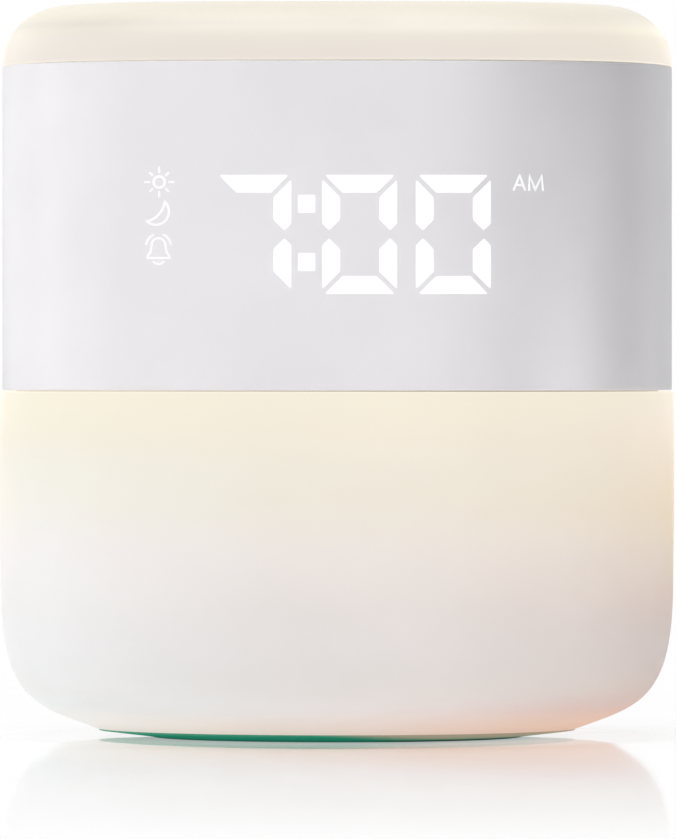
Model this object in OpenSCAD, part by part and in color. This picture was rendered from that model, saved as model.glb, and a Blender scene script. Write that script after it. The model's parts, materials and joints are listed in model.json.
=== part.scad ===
// Bedside clock for a child, with two glowing opal diffusers and a hidden display.
// The clock stands on the floor plane at z = 0. Its front looks along -Y and +X is to its right.
// The plan is a squircle (a superellipse) that turns into a circle where the body meets its base.

/* [Body] */
// Half of the body's width at its widest
body_half = 57.5; // [56.5:0.5:59]
// Height of the whole clock
body_h = 125; // [124:0.5:127]
// Exponent of the squircle plan: 2 is a circle, higher is squarer
plan_n = 3.2; // [2.9:0.1:3.6]
// Points round the plan
plan_steps = 96; // [72:12:120]
// Wall of the opal diffusers
opal_wall = 2.2; // [1.8:0.1:2.4]
// Open seam between the band and each diffuser
seam = 0.2; // [0.1:0.05:0.3]

/* [Band] */
// Height of the band's lower edge above the floor
band_bottom = 59.4; // [58:0.2:60]
// Height of the band's upper edge above the floor
band_top = 114.4; // [114:0.2:115]
// How far the band stands back from the diffusers
band_inset = 0.35; // [0.1:0.05:0.6]
// Wall of the band
band_wall = 2.2; // [1.8:0.1:2.4]
// Wall left in front of the display, thin enough to shine through
window_wall = 1; // [0.8:0.1:1.2]

/* [Top] */
// Width of the rounded top edge, measured inwards
top_round = 10.4; // [9:0.2:12]
// Rise of the top from its rounded edge to the button
top_crown = 0.4; // [0:0.1:0.8]
// Radius of the round top button
button_r = 16; // [14:0.5:17]
// Travel of the top button
button_travel = 1; // [0.6:0.1:1.2]

/* [Base] */
// Radius of the base plate's visible rim
base_r = 40.9; // [40:0.1:42]
// Height of the base plate's rim above the floor
base_rim_z = 1.2; // [1:0.1:1.5]
// Outer radius of the rubber foot ring
foot_r = 31.7; // [30:0.1:33]
// Width of the rubber foot ring
foot_w = 4.2; // [3.5:0.1:5]

/* [Display] */
// Height of a digit
digit_h = 20; // [18:0.1:20.5]
// Width of a digit
digit_w = 12.6; // [12:0.1:13]
// Stroke of a segment
stroke = 3; // [2.6:0.1:3.2]
// Height of the digits' lower edge above the floor
digit_z = 75.6; // [75:0.1:77]

/* [Keys] */
// Radius of a rear key
key_r = 4.5; // [4:0.1:5]
// Travel of a rear key
key_travel = 0.5; // [0.3:0.05:0.6]
// Distance between neighbouring keys
key_pitch = 14.5; // [13.5:0.5:15]

/* [Hidden] */
$fn = 64;
far = 80;            // longer than anything that a cut has to pass through

// Colours
opal = "#f1e6d8";
satin = "#e4e2e5";
teal = "#1f7b64";
rubber = "#2a2c2b";
board_green = "#2f6b46";
moulded_white = "#f2f2ee";
dark = "#26272a";
metal = "#b9bbbe";
gold = "#c9a64c";

// Plan and side profile of the body
round_n = 2;
diffuser_top = band_bottom - seam;
cap_bottom = band_top + seam;
band_a = body_half - band_inset;
band_inner_a = band_a - band_wall;
window_a = band_a - window_wall;
waist_z = 45.8;      // where the body is widest
bend_z = 27;         // where the side starts to turn in
neck_a = body_half - 0.1;
bend_drop = 20;      // pull of the side on the curve below bend_z
rim_pull = 12;       // pull of the rim on that curve
rim_slope = 20;
bend_steps = 8;
lip_a = band_inner_a - 0.15;
lip_wall = 1.6;
lip_h = 3.1;
cap_a = band_a + 0.05;

// Underside
plate_z = 0.5;       // underside of the base plate, inside the foot ring
plate_top = 2.9;
foot_groove_z = 1.3;
cover_disc_r = 14.7;
cover_neck_r = 12.6;
cover_lug_r = 15;
cover_clear = 0.2;
cover_step_z = 1.7;
lug_z = 3.05;
lug_h = 1.1;
lug_angle = 20;
notch_angle = 24;
cover_turn = 30;
cover_top = 4.4;
cell_r = 10;
cell_h = 3.2;
cell_z = 4.5;
holder_r = 19.4;
holder_top = 9.2;
base_screw_r = 23.7;
base_screw_count = 3;
cone_foot_r = 29;
cone_head_r = 13;
cone_wall = 1.6;

// Decks, light boards and boards
deck_a = lip_a - 0.1;
lower_deck_z = diffuser_top + lip_h + 0.1;
deck_h = 1.8;
upper_deck_z = band_top - 4.8;
board_h = 1.6;
light_board_r = 46;
lower_board_z = lower_deck_z - board_h;
upper_board_z = upper_deck_z + deck_h;
led_h = 0.9;
column_r = 3;
column_x = 40;
column_y = 18;
deck_hole_r = 9;
lead_hole_at = 20;   // hole for the leads in each light board, along X and -Y
lead_hole_r = 3;

// Rear keys, counted along +X from the left seen from the front, upper row first
key_names = ["clock", "alarm", "up", "down", "light", "sound"];
key_columns = 3;
key_row_z = [101.4, 89.4];
pocket_w = 43;
pocket_h = 24.4;
pocket_round = 6;
pocket_z = 95.4;
pocket_y = 54.8;     // floor of the recess that the keys stand in
pocket_floor = 2;
pad_margin = 1.8;    // how far the flat wall behind the recess reaches past it
pad_in_wall = 0.5;   // how far that wall runs into the band
key_front_y = 56;
key_clear = 0.15;
flange_r = 5.4;
flange_h = 1;
flange_gap = 0.1;
main_board_y = 46;   // its rear face
main_board_x = 34;
main_board_z0 = lower_deck_z + deck_h;
switch_w = 6;
switch_h = 3.5;
plunger_r = 1.75;
plunger_clear = 0.15;
plunger_in = 0.9;

// Display
block_y = -47.5;     // back of the segment block
block_x0 = -35.5;
block_x1 = 37.5;
block_z0 = 71;
block_z1 = 100;
film_h = 0.2;
film_gap = 0.1;
block_a = window_a - film_gap - film_h;
bar_mitre = 0.5;     // how far a bar's outer edge stops short of the corner
upright_mitre = 0.35;
tip_x = 1.17;        // place of an upright's tip, from its outer edge
tip_gap = 0.65;      // half the gap between the tips of two uprights
mid_gap = 0.35;
digit_x = [-20.2, -2.53, 13.07];
one_x = -23.2 - digit_w;
colon_x = -5.1;
colon_z = [90.6, 80.9];
symbol_x = -29.7;
symbol_z = [94.3, 89, 83];
symbol_r = [2.5, 2.4, 2.9];
day_half_x = 31.8;
day_half_z = 94.25;
day_half_w = 6.2;
day_half_h = 3.4;

// Sound and power
speaker_x = -15;
speaker_z = 72.8;
speaker_r = 8.4;
grille_r = 6.6;
grille_pitch = 2.4;
slot_h = 1.2;
jack_x = 17;
jack_z = 71.5;
jack_nose_r = 4;
jack_bore_r = 3.15;
jack_pin_r = 1;
jack_mouth_y = 56.3;
jack_depth = 9.4;

// Top button
button_top = body_h - 0.1;
button_disc = 2.4;
button_clear = 0.35;
guide_r = 21;
guide_floor_z = 117;
guide_floor = 1.4;
stem_r = 3.1;
stem_clear = 0.15;
top_switch_h = 3.6;
top_plunger_top = 118.4;

// Plan and curve helpers
function squircle_r(a, n, t) = a / pow(pow(abs(cos(t)), n) + pow(abs(sin(t)), n), 1 / n);
function squircle(a, n) = [
    for (i = [0:plan_steps - 1])
        let (t = 360 * i / plan_steps)
        squircle_r(a, n, t) * [cos(t), sin(t)]
];
function smooth(u) = let (v = min(max(u, 0), 1)) v * v * (3 - 2 * v);
function plan_exponent(a) = round_n + (plan_n - round_n) * smooth((a - base_r) / (neck_a - base_r));

// The side below bend_z is one cubic curve of [half width, height], from the side to the rim
bend = [
    [neck_a, bend_z],
    [neck_a, bend_z - bend_drop],
    [base_r + rim_pull * cos(rim_slope), base_rim_z + rim_pull * sin(rim_slope)],
    [base_r, base_rim_z]
];
function on_bend(t) =
    pow(1 - t, 3) * bend[0] + 3 * pow(1 - t, 2) * t * bend[1]
    + 3 * (1 - t) * t * t * bend[2] + pow(t, 3) * bend[3];
function bend_way(t) =
    3 * pow(1 - t, 2) * (bend[1] - bend[0]) + 6 * (1 - t) * t * (bend[2] - bend[1])
    + 3 * t * t * (bend[3] - bend[2]);
function inside_bend(t) =
    let (way = bend_way(t) / norm(bend_way(t)))
    on_bend(t) + opal_wall * [way.y, -way.x];

// A closed profile of rings [half width, height, exponent], up the outside and down the inside
module ring_loft(rings) {
    points = [for (ring = rings) for (p = squircle(ring[0], ring[2])) [p.x, p.y, ring[1]]];
    count = len(rings);
    faces = [
        for (k = [0:count - 1])
            for (i = [0:plan_steps - 1])
                let (j = (i + 1) % plan_steps, m = (k + 1) % count)
                each [
                    [k * plan_steps + i, m * plan_steps + j, k * plan_steps + j],
                    [k * plan_steps + i, m * plan_steps + i, m * plan_steps + j]
                ]
    ];
    polyhedron(points, faces);
}

module slab(a, z0, z1) {
    translate([0, 0, z0])
        linear_extrude(z1 - z0)
            polygon(squircle(a, plan_n));
}

// A rounded rectangle in X and Z, extruded from y0 to y1
module rear_plate(w, h, r, z, y0, y1) {
    translate([0, y1, z])
        rotate([90, 0, 0])
            linear_extrude(y1 - y0)
                union() {
                    square([w - 2 * r, h], center = true);
                    square([w, h - 2 * r], center = true);
                    for (sx = [-1, 1], sz = [-1, 1])
                        translate([sx * (w / 2 - r), sz * (h / 2 - r)])
                            circle(r);
                }
}

// A cylinder along Y
module y_cylinder(r, x, z, y0, y1) {
    translate([x, y0, z])
        rotate([-90, 0, 0])
            cylinder(r = r, h = y1 - y0);
}

module tube(r_out, r_in, z0, z1) {
    translate([0, 0, z0])
        linear_extrude(z1 - z0)
            difference() {
                circle(r_out);
                circle(r_in);
            }
}

module round_of(count, r, turn = 0) {
    for (i = [0:count - 1])
        rotate([0, 0, turn + 360 * i / count])
            translate([r, 0, 0])
                children();
}

// --- Shells -------------------------------------------------------------------------------------

module lower_diffuser() {
    outside = [
        for (i = [bend_steps:-1:0])
            let (p = on_bend(i / bend_steps))
            [p.x, p.y, plan_exponent(p.x)]
    ];
    inside = [
        for (i = [0:bend_steps])
            let (t = i / bend_steps, p = inside_bend(t))
            [p.x, p.y, plan_exponent(on_bend(t).x)]
    ];
    lip = [
        [neck_a, diffuser_top, plan_n],
        [lip_a, diffuser_top, plan_n],
        [lip_a, diffuser_top + lip_h, plan_n],
        [lip_a - lip_wall, diffuser_top + lip_h, plan_n],
        [lip_a - lip_wall, diffuser_top - 1.5, plan_n],
        [neck_a - opal_wall, diffuser_top - 3.5, plan_n]
    ];
    color(opal)
        ring_loft(concat(
            outside,
            [[body_half, waist_z, plan_n]],
            lip,
            [[body_half - opal_wall, waist_z, plan_n]],
            inside
        ));
}

module display_band() {
    color(satin)
        difference() {
            union() {
                difference() {
                    slab(band_a, band_bottom, band_top);
                    slab(band_inner_a, band_bottom - 1, band_top + 1);
                }
                rear_plate(pocket_w + 2 * pad_margin, pocket_h + 2 * pad_margin, pocket_round,
                    pocket_z, pocket_y - pocket_floor, band_inner_a + pad_in_wall);
            }
            // thin wall behind which the display shines
            intersection() {
                slab(window_a, block_z0 - 1, block_z1 + 1);
                translate([block_x0 - 1, -far, 0])
                    cube([block_x1 - block_x0 + 2, far, far * 2]);
            }
            // recess of the keys
            rear_plate(pocket_w, pocket_h, pocket_round, pocket_z, pocket_y, far);
            for (i = [0:len(key_names) - 1])
                y_cylinder(key_r + key_clear, key_at(i).x, key_at(i).y, pocket_y - 4, far);
            // sound slots, as long as the speaker's circle allows
            for (k = [-2:2])
                translate([speaker_x, 0, speaker_z + k * grille_pitch])
                    sound_slot(2 * sqrt(grille_r * grille_r - pow(k * grille_pitch, 2)));
            y_cylinder(jack_nose_r + 0.15, jack_x, jack_z, 0, far);
        }
}

module sound_slot(length) {
    straight = length - slot_h;
    translate([0, far, 0])
        rotate([90, 0, 0])
            linear_extrude(far)
                union() {
                    square([straight, slot_h], center = true);
                    for (s = [-1, 1])
                        translate([s * straight / 2, 0])
                            circle(slot_h / 2, $fn = 24);
                }
}

module top_diffuser() {
    rise = body_h - top_crown - cap_bottom;
    flat_a = cap_a - top_round;
    hole = button_r + button_clear;
    arc = [0, 15, 30, 45, 60, 75, 90];
    outside = [for (t = arc) [flat_a + top_round * cos(t), cap_bottom + rise * sin(t), plan_n]];
    inside = [
        for (k = [len(arc) - 1:-1:1])
            let (t = arc[k])
            [
                flat_a + (top_round - opal_wall) * cos(t),
                cap_bottom + (rise - opal_wall) * sin(t),
                plan_n
            ]
    ];
    crown = [
        [32, body_h - top_crown * 0.3, 2.7],
        [22, body_h, round_n],
        [hole, body_h, round_n],
        [hole, body_h - opal_wall, round_n],
        [22, body_h - opal_wall, round_n],
        [32, body_h - top_crown * 0.3 - opal_wall, 2.7]
    ];
    lip = [
        [lip_a - lip_wall, cap_bottom + 0.6, plan_n],
        [lip_a - lip_wall, cap_bottom - lip_h, plan_n],
        [lip_a, cap_bottom - lip_h, plan_n],
        [lip_a, cap_bottom, plan_n]
    ];
    color(opal)
        ring_loft(concat(outside, crown, inside, lip));
}

// --- Base ---------------------------------------------------------------------------------------

module base_plate() {
    rim_in = base_r - opal_wall * sin(rim_slope);
    rim_up = base_rim_z + opal_wall * cos(rim_slope);
    color(teal)
        difference() {
            rotate_extrude($fn = 128)
                polygon([
                    [cover_neck_r + cover_clear, plate_z],
                    [foot_r - foot_w - 0.1, plate_z],
                    [foot_r - foot_w - 0.1, foot_groove_z],
                    [foot_r + 0.1, foot_groove_z],
                    [foot_r + 0.1, 0.15],
                    [base_r - 0.1, base_rim_z],
                    [base_r - 0.25, base_rim_z + 0.25],
                    [rim_in - 0.25, rim_up],
                    [rim_in - 1.2, rim_up + 2],
                    [rim_in - 2.6, rim_up + 2],
                    [rim_in - 2.6, plate_top],
                    [cover_neck_r + cover_clear, plate_top]
                ]);
            translate([0, 0, -1])
                cylinder(r = cover_disc_r + cover_clear, h = 1 + cover_step_z);
            bayonet(cover_lug_r + cover_clear, notch_angle, cover_turn, -1, plate_top + 2);
            round_of(base_screw_count, base_screw_r, 60)
                translate([0, 0, -1])
                    cylinder(r = 2.6, h = 1 + 1.9);
            round_of(base_screw_count, base_screw_r, 60)
                cylinder(r = 1.35, h = plate_top + 2);
        }
}

// Three wedges of a ring, for the cover's lugs and the notches that let them through
module bayonet(r, angle, turn, z0, z1) {
    for (i = [0:2])
        rotate([0, 0, 120 * i + turn - angle / 2])
            translate([0, 0, z0])
                rotate_extrude(angle = angle)
                    translate([cover_neck_r - 1, 0])
                        square([r - cover_neck_r + 1, z1 - z0]);
}

module foot_ring() {
    color(rubber)
        rotate_extrude($fn = 96)
            translate([foot_r - foot_w, 0])
                polygon([
                    [0.3, 0],
                    [foot_w - 0.3, 0],
                    [foot_w, 0.3],
                    [foot_w, foot_groove_z],
                    [0, foot_groove_z],
                    [0, 0.3]
                ]);
}

module battery_cover() {
    color(teal)
        difference() {
            union() {
                translate([0, 0, plate_z + 0.1])
                    cylinder(r = cover_disc_r, h = cover_step_z - plate_z - 0.2);
                translate([0, 0, plate_z + 0.1])
                    cylinder(r = cover_neck_r, h = cover_top - plate_z - 0.1);
                bayonet(cover_lug_r, lug_angle, 0, lug_z, lug_z + lug_h);
            }
            // slot for a coin
            translate([-8, -1.1, 0])
                cube([16, 2.2, plate_z + 0.1 + 1.4]);
        }
}

module coin_cell() {
    color(metal)
        translate([0, 0, cell_z])
            union() {
                cylinder(r = cell_r - 1.5, h = cell_h);
                translate([0, 0, 0.2])
                    cylinder(r = cell_r, h = cell_h - 0.4);
            }
}

module cell_holder() {
    color(dark)
        difference() {
            translate([0, 0, plate_top])
                cylinder(r = holder_r, h = holder_top - plate_top);
            translate([0, 0, plate_top - 1])
                cylinder(r = holder_r - 1.8, h = 1 + cell_z - plate_top);
            cylinder(r = cell_r + 0.25, h = cell_z + cell_h + 0.1);
            translate([-3.2, -6, 0])
                cube([6.4, 12, far]);
        }
}

module cell_contacts() {
    z = cell_z + cell_h;
    color(gold)
        union() {
            translate([-2.5, -5.5, z])
                cube([5, 11, 0.3]);
            translate([-2.5, -5.5, z])
                cube([5, 0.3, holder_top - z + 1.5]);
            translate([-2.5, 5.2, z])
                cube([5, 0.3, holder_top - z + 1.5]);
        }
}

// White cone that throws the light of the board above it out through the lower diffuser
module reflector_cone() {
    top_z = lower_board_z;
    color(moulded_white)
        difference() {
            union() {
                rotate_extrude()
                    polygon([
                        [cone_foot_r - 9, plate_top],
                        [cone_foot_r, plate_top],
                        [cone_foot_r, plate_top + 2],
                        [cone_foot_r - 3, plate_top + 3.5],
                        [cone_head_r + 2.5, plate_top + 30],
                        [cone_head_r, top_z],
                        [cone_head_r - cone_wall, top_z],
                        [cone_head_r + 2.5 - cone_wall, plate_top + 30],
                        [cone_foot_r - 3 - cone_wall, plate_top + 5],
                        [cone_foot_r - 9, plate_top + 5]
                    ]);
            }
            round_of(base_screw_count, base_screw_r, 60)
                translate([0, 0, plate_top - 1])
                    cylinder(r = 1.15, h = 1 + 4);
        }
}

// --- Decks and lights ---------------------------------------------------------------------------

module deck_columns(r, z0, z1) {
    for (sx = [-1, 1], sy = [-1, 1])
        translate([sx * column_x, sy * column_y, z0])
            cylinder(r = r, h = z1 - z0, $fn = 32);
}

module lower_deck() {
    rail_h = 30;
    rail_w = 4;
    rail_back = 2;   // rail behind each board, and in front of the main board
    groove_clear = 0.1;
    color(moulded_white)
        difference() {
            union() {
                slab(deck_a, lower_deck_z, lower_deck_z + deck_h);
                deck_columns(column_r, lower_deck_z, upper_deck_z);
                // rails that hold the main board's and the display board's side edges
                for (s = [-1, 1])
                    translate([s * (main_board_x + 0.6) - rail_w / 2, 0, lower_deck_z]) {
                        translate([0, main_board_y - board_h - rail_back, 0])
                            cube([rail_w, board_h + 2 * rail_back, deck_h + rail_h]);
                        translate([0, block_y, 0])
                            cube([rail_w, board_h + rail_back, deck_h + rail_h]);
                    }
            }
            translate([0, 0, lower_deck_z - 1])
                cylinder(r = deck_hole_r, h = deck_h + 2);
            for (y = [main_board_y - board_h, block_y])
                translate([-main_board_x - groove_clear, y, lower_deck_z + deck_h])
                    cube([2 * (main_board_x + groove_clear), board_h, far]);
            deck_columns(1.15, upper_deck_z - 8, upper_deck_z + 1);
        }
}

module upper_deck() {
    color(moulded_white)
        difference() {
            slab(deck_a, upper_deck_z, upper_deck_z + deck_h);
            translate([0, 0, upper_deck_z - 1])
                cylinder(r = deck_hole_r, h = deck_h + 2);
            deck_columns(1.6, upper_deck_z - 1, upper_deck_z + deck_h + 1);
        }
}

module light_board(z) {
    difference() {
        translate([0, 0, z])
            cylinder(r = light_board_r, h = board_h);
        for (sx = [-1, 1], sy = [-1, 1])
            translate([sx * column_x, sy * column_y, z - 1])
                cylinder(r = column_r + 0.4, h = board_h + 2, $fn = 32);
        translate([lead_hole_at, -lead_hole_at, z - 1])
            cylinder(r = lead_hole_r, h = board_h + 2, $fn = 32);
    }
}

module lower_light_board() {
    color(moulded_white)
        light_board(lower_board_z);
}

module lower_leds() {
    color(opal)
        round_of(12, 37, 15)
            translate([-1.4, -1.75, lower_board_z - led_h])
                cube([2.8, 3.5, led_h]);
}

module top_light_board() {
    color(moulded_white)
        light_board(upper_board_z);
}

module top_leds() {
    color(opal)
        round_of(10, 33, 18)
            translate([-1.4, -1.75, upper_board_z + board_h])
                cube([2.8, 3.5, led_h]);
}

// --- Rear keys and the main board ---------------------------------------------------------------

function key_at(i) = [
    (i % key_columns - 1) * key_pitch,
    key_row_z[floor(i / key_columns)]
];
flange_y = pocket_y - pocket_floor - flange_gap;

module key(i) {
    at = key_at(i);
    color(satin)
        translate([at.x, 0, at.y])
            rotate([-90, 0, 0])
                rotate_extrude()
                    polygon([
                        [0, flange_y - flange_h],
                        [flange_r, flange_y - flange_h],
                        [flange_r, flange_y],
                        [key_r, flange_y],
                        [key_r, key_front_y - 0.5],
                        [key_r - 0.15, key_front_y - 0.15],
                        [key_r - 0.5, key_front_y],
                        [2.5, key_front_y - 0.15],
                        [0, key_front_y - 0.2]
                    ]);
}

module plunger(i) {
    at = key_at(i);
    color(dark)
        y_cylinder(plunger_r, at.x, at.y, main_board_y + switch_h - plunger_in, flange_y - flange_h);
}

module main_board() {
    color(board_green)
        translate([-main_board_x, main_board_y - board_h, main_board_z0])
            cube([2 * main_board_x, board_h, upper_deck_z - main_board_z0]);
}

module tact_switches() {
    color(dark)
        for (i = [0:len(key_names) - 1])
            let (at = key_at(i))
            difference() {
                translate([at.x - switch_w / 2, main_board_y, at.y - switch_w / 2])
                    cube([switch_w, switch_h, switch_w]);
                y_cylinder(plunger_r + plunger_clear, at.x, at.y,
                    main_board_y + switch_h - plunger_in - key_travel - 0.3, far);
            }
}

// On the board's inner face: chips and a coil as [x, z, width, height, depth], then the round capacitors
// and the clock crystal as [x, z, radius, length]
board_blocks = [[-6, 88, 12, 12, 1.2], [12, 92, 5, 6, 1], [-22, 92, 7, 7, 4]];
board_cans = [[24, 72, 3, 7], [24, 80, 3, 7], [-14, 84, 1.2, 4]];

module board_components() {
    y = main_board_y - board_h;
    color(dark)
        union() {
            for (b = board_blocks)
                translate([b[0], y - b[4], b[1]])
                    cube([b[2], b[4], b[3]]);
            for (c = board_cans)
                y_cylinder(c[2], c[0], c[1], y - c[3], y);
        }
}

// --- Display ------------------------------------------------------------------------------------

// Segments are drawn in X and Z, from the digit's lower left corner
module bar_segment() {
    polygon([
        [bar_mitre, digit_h],
        [digit_w - bar_mitre, digit_h],
        [digit_w - bar_mitre - stroke, digit_h - stroke],
        [bar_mitre + stroke, digit_h - stroke]
    ]);
}

module upright_segment() {
    mid = digit_h / 2;
    polygon([
        [digit_w, digit_h - upright_mitre],
        [digit_w, mid + tip_gap + tip_x],
        [digit_w - tip_x, mid + tip_gap],
        [digit_w - stroke, mid + tip_gap + stroke - tip_x],
        [digit_w - stroke, digit_h - upright_mitre - stroke]
    ]);
}

module middle_segment() {
    mid = digit_h / 2;
    half = stroke / 2;
    inset = tip_x + mid_gap;
    polygon([
        [inset, mid],
        [inset + half, mid + half],
        [digit_w - inset - half, mid + half],
        [digit_w - inset, mid],
        [digit_w - inset - half, mid - half],
        [inset + half, mid - half]
    ]);
}

module digit_flip(x, z) {
    translate([x ? digit_w : 0, z ? digit_h : 0])
        mirror([x ? 1 : 0, 0])
            mirror([0, z ? 1 : 0])
                children();
}

module full_digit() {
    bar_segment();
    digit_flip(false, true)
        bar_segment();
    middle_segment();
    for (x = [false, true], z = [false, true])
        digit_flip(x, z)
            upright_segment();
}

module all_digits() {
    for (x = digit_x)
        translate([x, digit_z])
            full_digit();
    translate([one_x, digit_z])
        for (z = [false, true])
            digit_flip(false, z)
                upright_segment();
}

module colon_dots() {
    for (z = colon_z)
        translate([colon_x, z])
            square(stroke, center = true);
}

module symbol_windows() {
    for (i = [0:2])
        translate([symbol_x, symbol_z[i]])
            circle(symbol_r[i], $fn = 32);
}

module day_half_window() {
    translate([day_half_x, day_half_z])
        square([day_half_w, day_half_h], center = true);
}

// Children are a drawing in X and Z: this pushes it through the block, up to the curved front
module through_block(a = block_a, y0 = block_y) {
    intersection() {
        slab(a, block_z0, block_z1);
        translate([0, y0, 0])
            rotate([90, 0, 0])
                linear_extrude(far)
                    children();
    }
}

module display_block() {
    color(moulded_white)
        difference() {
            through_block()
                translate([block_x0, block_z0])
                    square([block_x1 - block_x0, block_z1 - block_z0]);
            translate([0, block_y + 1, 0])
                rotate([90, 0, 0])
                    linear_extrude(far)
                        union() {
                            all_digits();
                            colon_dots();
                            symbol_windows();
                            day_half_window();
                        }
        }
}

module digit_pipes() {
    color("white")
        through_block()
            all_digits();
}

module colon_pipes() {
    color("white")
        through_block()
            colon_dots();
}

module symbol_pipes() {
    color("white")
        through_block()
            symbol_windows();
}

module day_half_pipe() {
    color("white")
        through_block()
            day_half_window();
}

module display_film() {
    color(satin)
        difference() {
            through_block(block_a + film_h)
                translate([block_x0 + 1, block_z0 + 1])
                    square([block_x1 - block_x0 - 2, block_z1 - block_z0 - 2]);
            slab(block_a, block_z0 - 1, block_z1 + 1);
        }
}

module display_board() {
    color(board_green)
        translate([-main_board_x, block_y, main_board_z0])
            cube([2 * main_board_x, board_h, block_z1 - main_board_z0]);
}

// --- Sound and power ----------------------------------------------------------------------------

speaker_y = 52.2;    // front rim of the speaker, towards the slots

module speaker_frame() {
    color(dark)
        translate([speaker_x, speaker_y, speaker_z])
            rotate([90, 0, 0])
                rotate_extrude()
                    polygon([
                        [speaker_r - 1.6, 0],
                        [speaker_r, 0],
                        [speaker_r, 1.2],
                        [5.5, 3],
                        [5.5, 3.6],
                        [4.3, 3.6],
                        [4.3, 2.6],
                        [speaker_r - 1.6, 0.8]
                    ]);
}

module speaker_magnet() {
    color(metal)
        y_cylinder(5, speaker_x, speaker_z, main_board_y, speaker_y - 3.6);
}

module speaker_cone() {
    color(dark)
        translate([speaker_x, speaker_y, speaker_z])
            rotate([90, 0, 0])
                rotate_extrude()
                    polygon([
                        [0, 0.9],
                        [2.2, 1.3],
                        [3.6, 2.1],
                        [speaker_r - 1.7, 0.3],
                        [speaker_r - 1.7, 0.6],
                        [3.6, 2.5],
                        [0, 2.5]
                    ]);
}

module speaker_gasket() {
    color(rubber)
        intersection() {
            slab(band_inner_a - 0.05, band_bottom, band_top);
            difference() {
                y_cylinder(speaker_r, speaker_x, speaker_z, speaker_y, far);
                y_cylinder(speaker_r - 1.2, speaker_x, speaker_z, 0, far);
            }
        }
}

module power_jack() {
    block = 9;
    color(dark)
        difference() {
            union() {
                translate([jack_x - block / 2, main_board_y, jack_z - block / 2])
                    cube([block, 54 - main_board_y, block]);
                y_cylinder(jack_nose_r, jack_x, jack_z, main_board_y, jack_mouth_y);
            }
            y_cylinder(jack_bore_r, jack_x, jack_z, jack_mouth_y - jack_depth, far);
        }
}

module power_jack_pin() {
    foot = jack_mouth_y - jack_depth;
    color(metal)
        translate([jack_x, 0, jack_z])
            rotate([-90, 0, 0])
                rotate_extrude($fn = 48)
                    polygon([
                        [0, foot],
                        [jack_pin_r, foot],
                        [jack_pin_r, jack_mouth_y - 1.3],
                        [jack_pin_r - 0.3, jack_mouth_y - 1],
                        [0, jack_mouth_y - 1]
                    ]);
}

// --- Fasteners and cables -----------------------------------------------------------------------

module screw(head_r, head_h, shank_r, length) {
    cylinder(r = head_r, h = head_h, $fn = 32);
    cylinder(r = shank_r, h = head_h + length, $fn = 32);
}

module base_screws() {
    color(metal)
        round_of(base_screw_count, base_screw_r, 60)
            translate([0, 0, 0.6])
                difference() {
                    screw(2.4, 1.3, 1.1, 4.5);
                    for (turn = [0, 90])
                        rotate([0, 0, turn])
                            translate([-1.4, -0.3, -1])
                                cube([2.8, 0.6, 1.7]);
                }
}

module deck_screws() {
    color(metal)
        for (sx = [-1, 1], sy = [-1, 1])
            translate([sx * column_x, sy * column_y, upper_deck_z + deck_h + 1.4])
                mirror([0, 0, 1])
                    screw(2.6, 1.4, 1.1, 8);
}

// Flat cable from the display board to the main board, hanging in one shallow sag
ribbon_t = 0.8;
ribbon_w = 12;
ribbon_x = 20;
ribbon_sag = 9;
ribbon_z = 80;
ribbon_rise = 13;
ribbon_y = block_y + board_h;
ribbon_run = main_board_y - board_h - ribbon_y;
function ribbon_at(u) = [
    ribbon_y + ribbon_run * u,
    ribbon_z + ribbon_rise * u - ribbon_sag * sin(180 * u)
];

module ribbon_cable() {
    steps = 24;
    path = [for (i = [0:steps]) ribbon_at(i / steps)];
    color("silver")
        translate([ribbon_x, 0, 0])
            rotate([90, 0, 90])
                linear_extrude(ribbon_w)
                    polygon(concat(
                        path,
                        [for (i = [steps:-1:0]) path[i] + [0, ribbon_t]]
                    ));
}

// Leads from the main board down and up to the decks' middle holes, on the way to the light boards
lead_x = -10;
lead_w = 4;
lead_t = 1.3;
lead_end_y = 4;      // inside the middle hole of each deck
lead_rise = [10, 9]; // up the main board from the lower deck, and down it from the upper deck

module light_cables() {
    y = main_board_y - board_h - lead_t;
    low = lower_deck_z + deck_h;
    color("ivory")
        union() {
            translate([lead_x, y, low])
                cube([lead_w, lead_t, lead_rise[0]]);
            translate([lead_x, y, upper_deck_z - lead_rise[1]])
                cube([lead_w, lead_t, lead_rise[1]]);
            for (z = [low, upper_deck_z - lead_t])
                translate([lead_x, lead_end_y, z])
                    cube([lead_w, y - lead_end_y, lead_t]);
        }
}

// --- Top button ---------------------------------------------------------------------------------

module top_button() {
    color(satin)
        union() {
            rotate_extrude($fn = 96)
                polygon([
                    [0, button_top - button_disc],
                    [button_r - 1.6, button_top - button_disc],
                    [button_r - 1.6, button_top - button_disc - 1],
                    [button_r, button_top - button_disc - 1],
                    [button_r, button_top - 0.8],
                    [button_r - 0.25, button_top - 0.25],
                    [button_r - 0.8, button_top],
                    [8, button_top - 0.45],
                    [0, button_top - 0.6]
                ]);
            translate([0, 0, top_plunger_top])
                cylinder(r = stem_r, h = button_top - button_disc - top_plunger_top);
        }
}

module button_guide() {
    top_z = body_h - opal_wall - 0.1;
    color(moulded_white)
        rotate_extrude($fn = 96)
            polygon([
                [stem_r + stem_clear, guide_floor_z],
                [guide_r, guide_floor_z],
                [guide_r, top_z],
                [button_r + button_clear, top_z],
                [button_r + button_clear, guide_floor_z + guide_floor],
                [stem_r + stem_clear, guide_floor_z + guide_floor]
            ]);
}

// Silicone dome that lifts the button again
module return_dome() {
    low = guide_floor_z + guide_floor;
    high = button_top - button_disc;
    color("gainsboro")
        rotate_extrude()
            polygon([
                [8, low],
                [10, low],
                [10, low + 0.8],
                [7, high - 1],
                [7, high],
                [4.2, high],
                [4.2, high - 1],
                [6.2, high - 1.2],
                [8.6, low + 0.8]
            ]);
}

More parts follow.
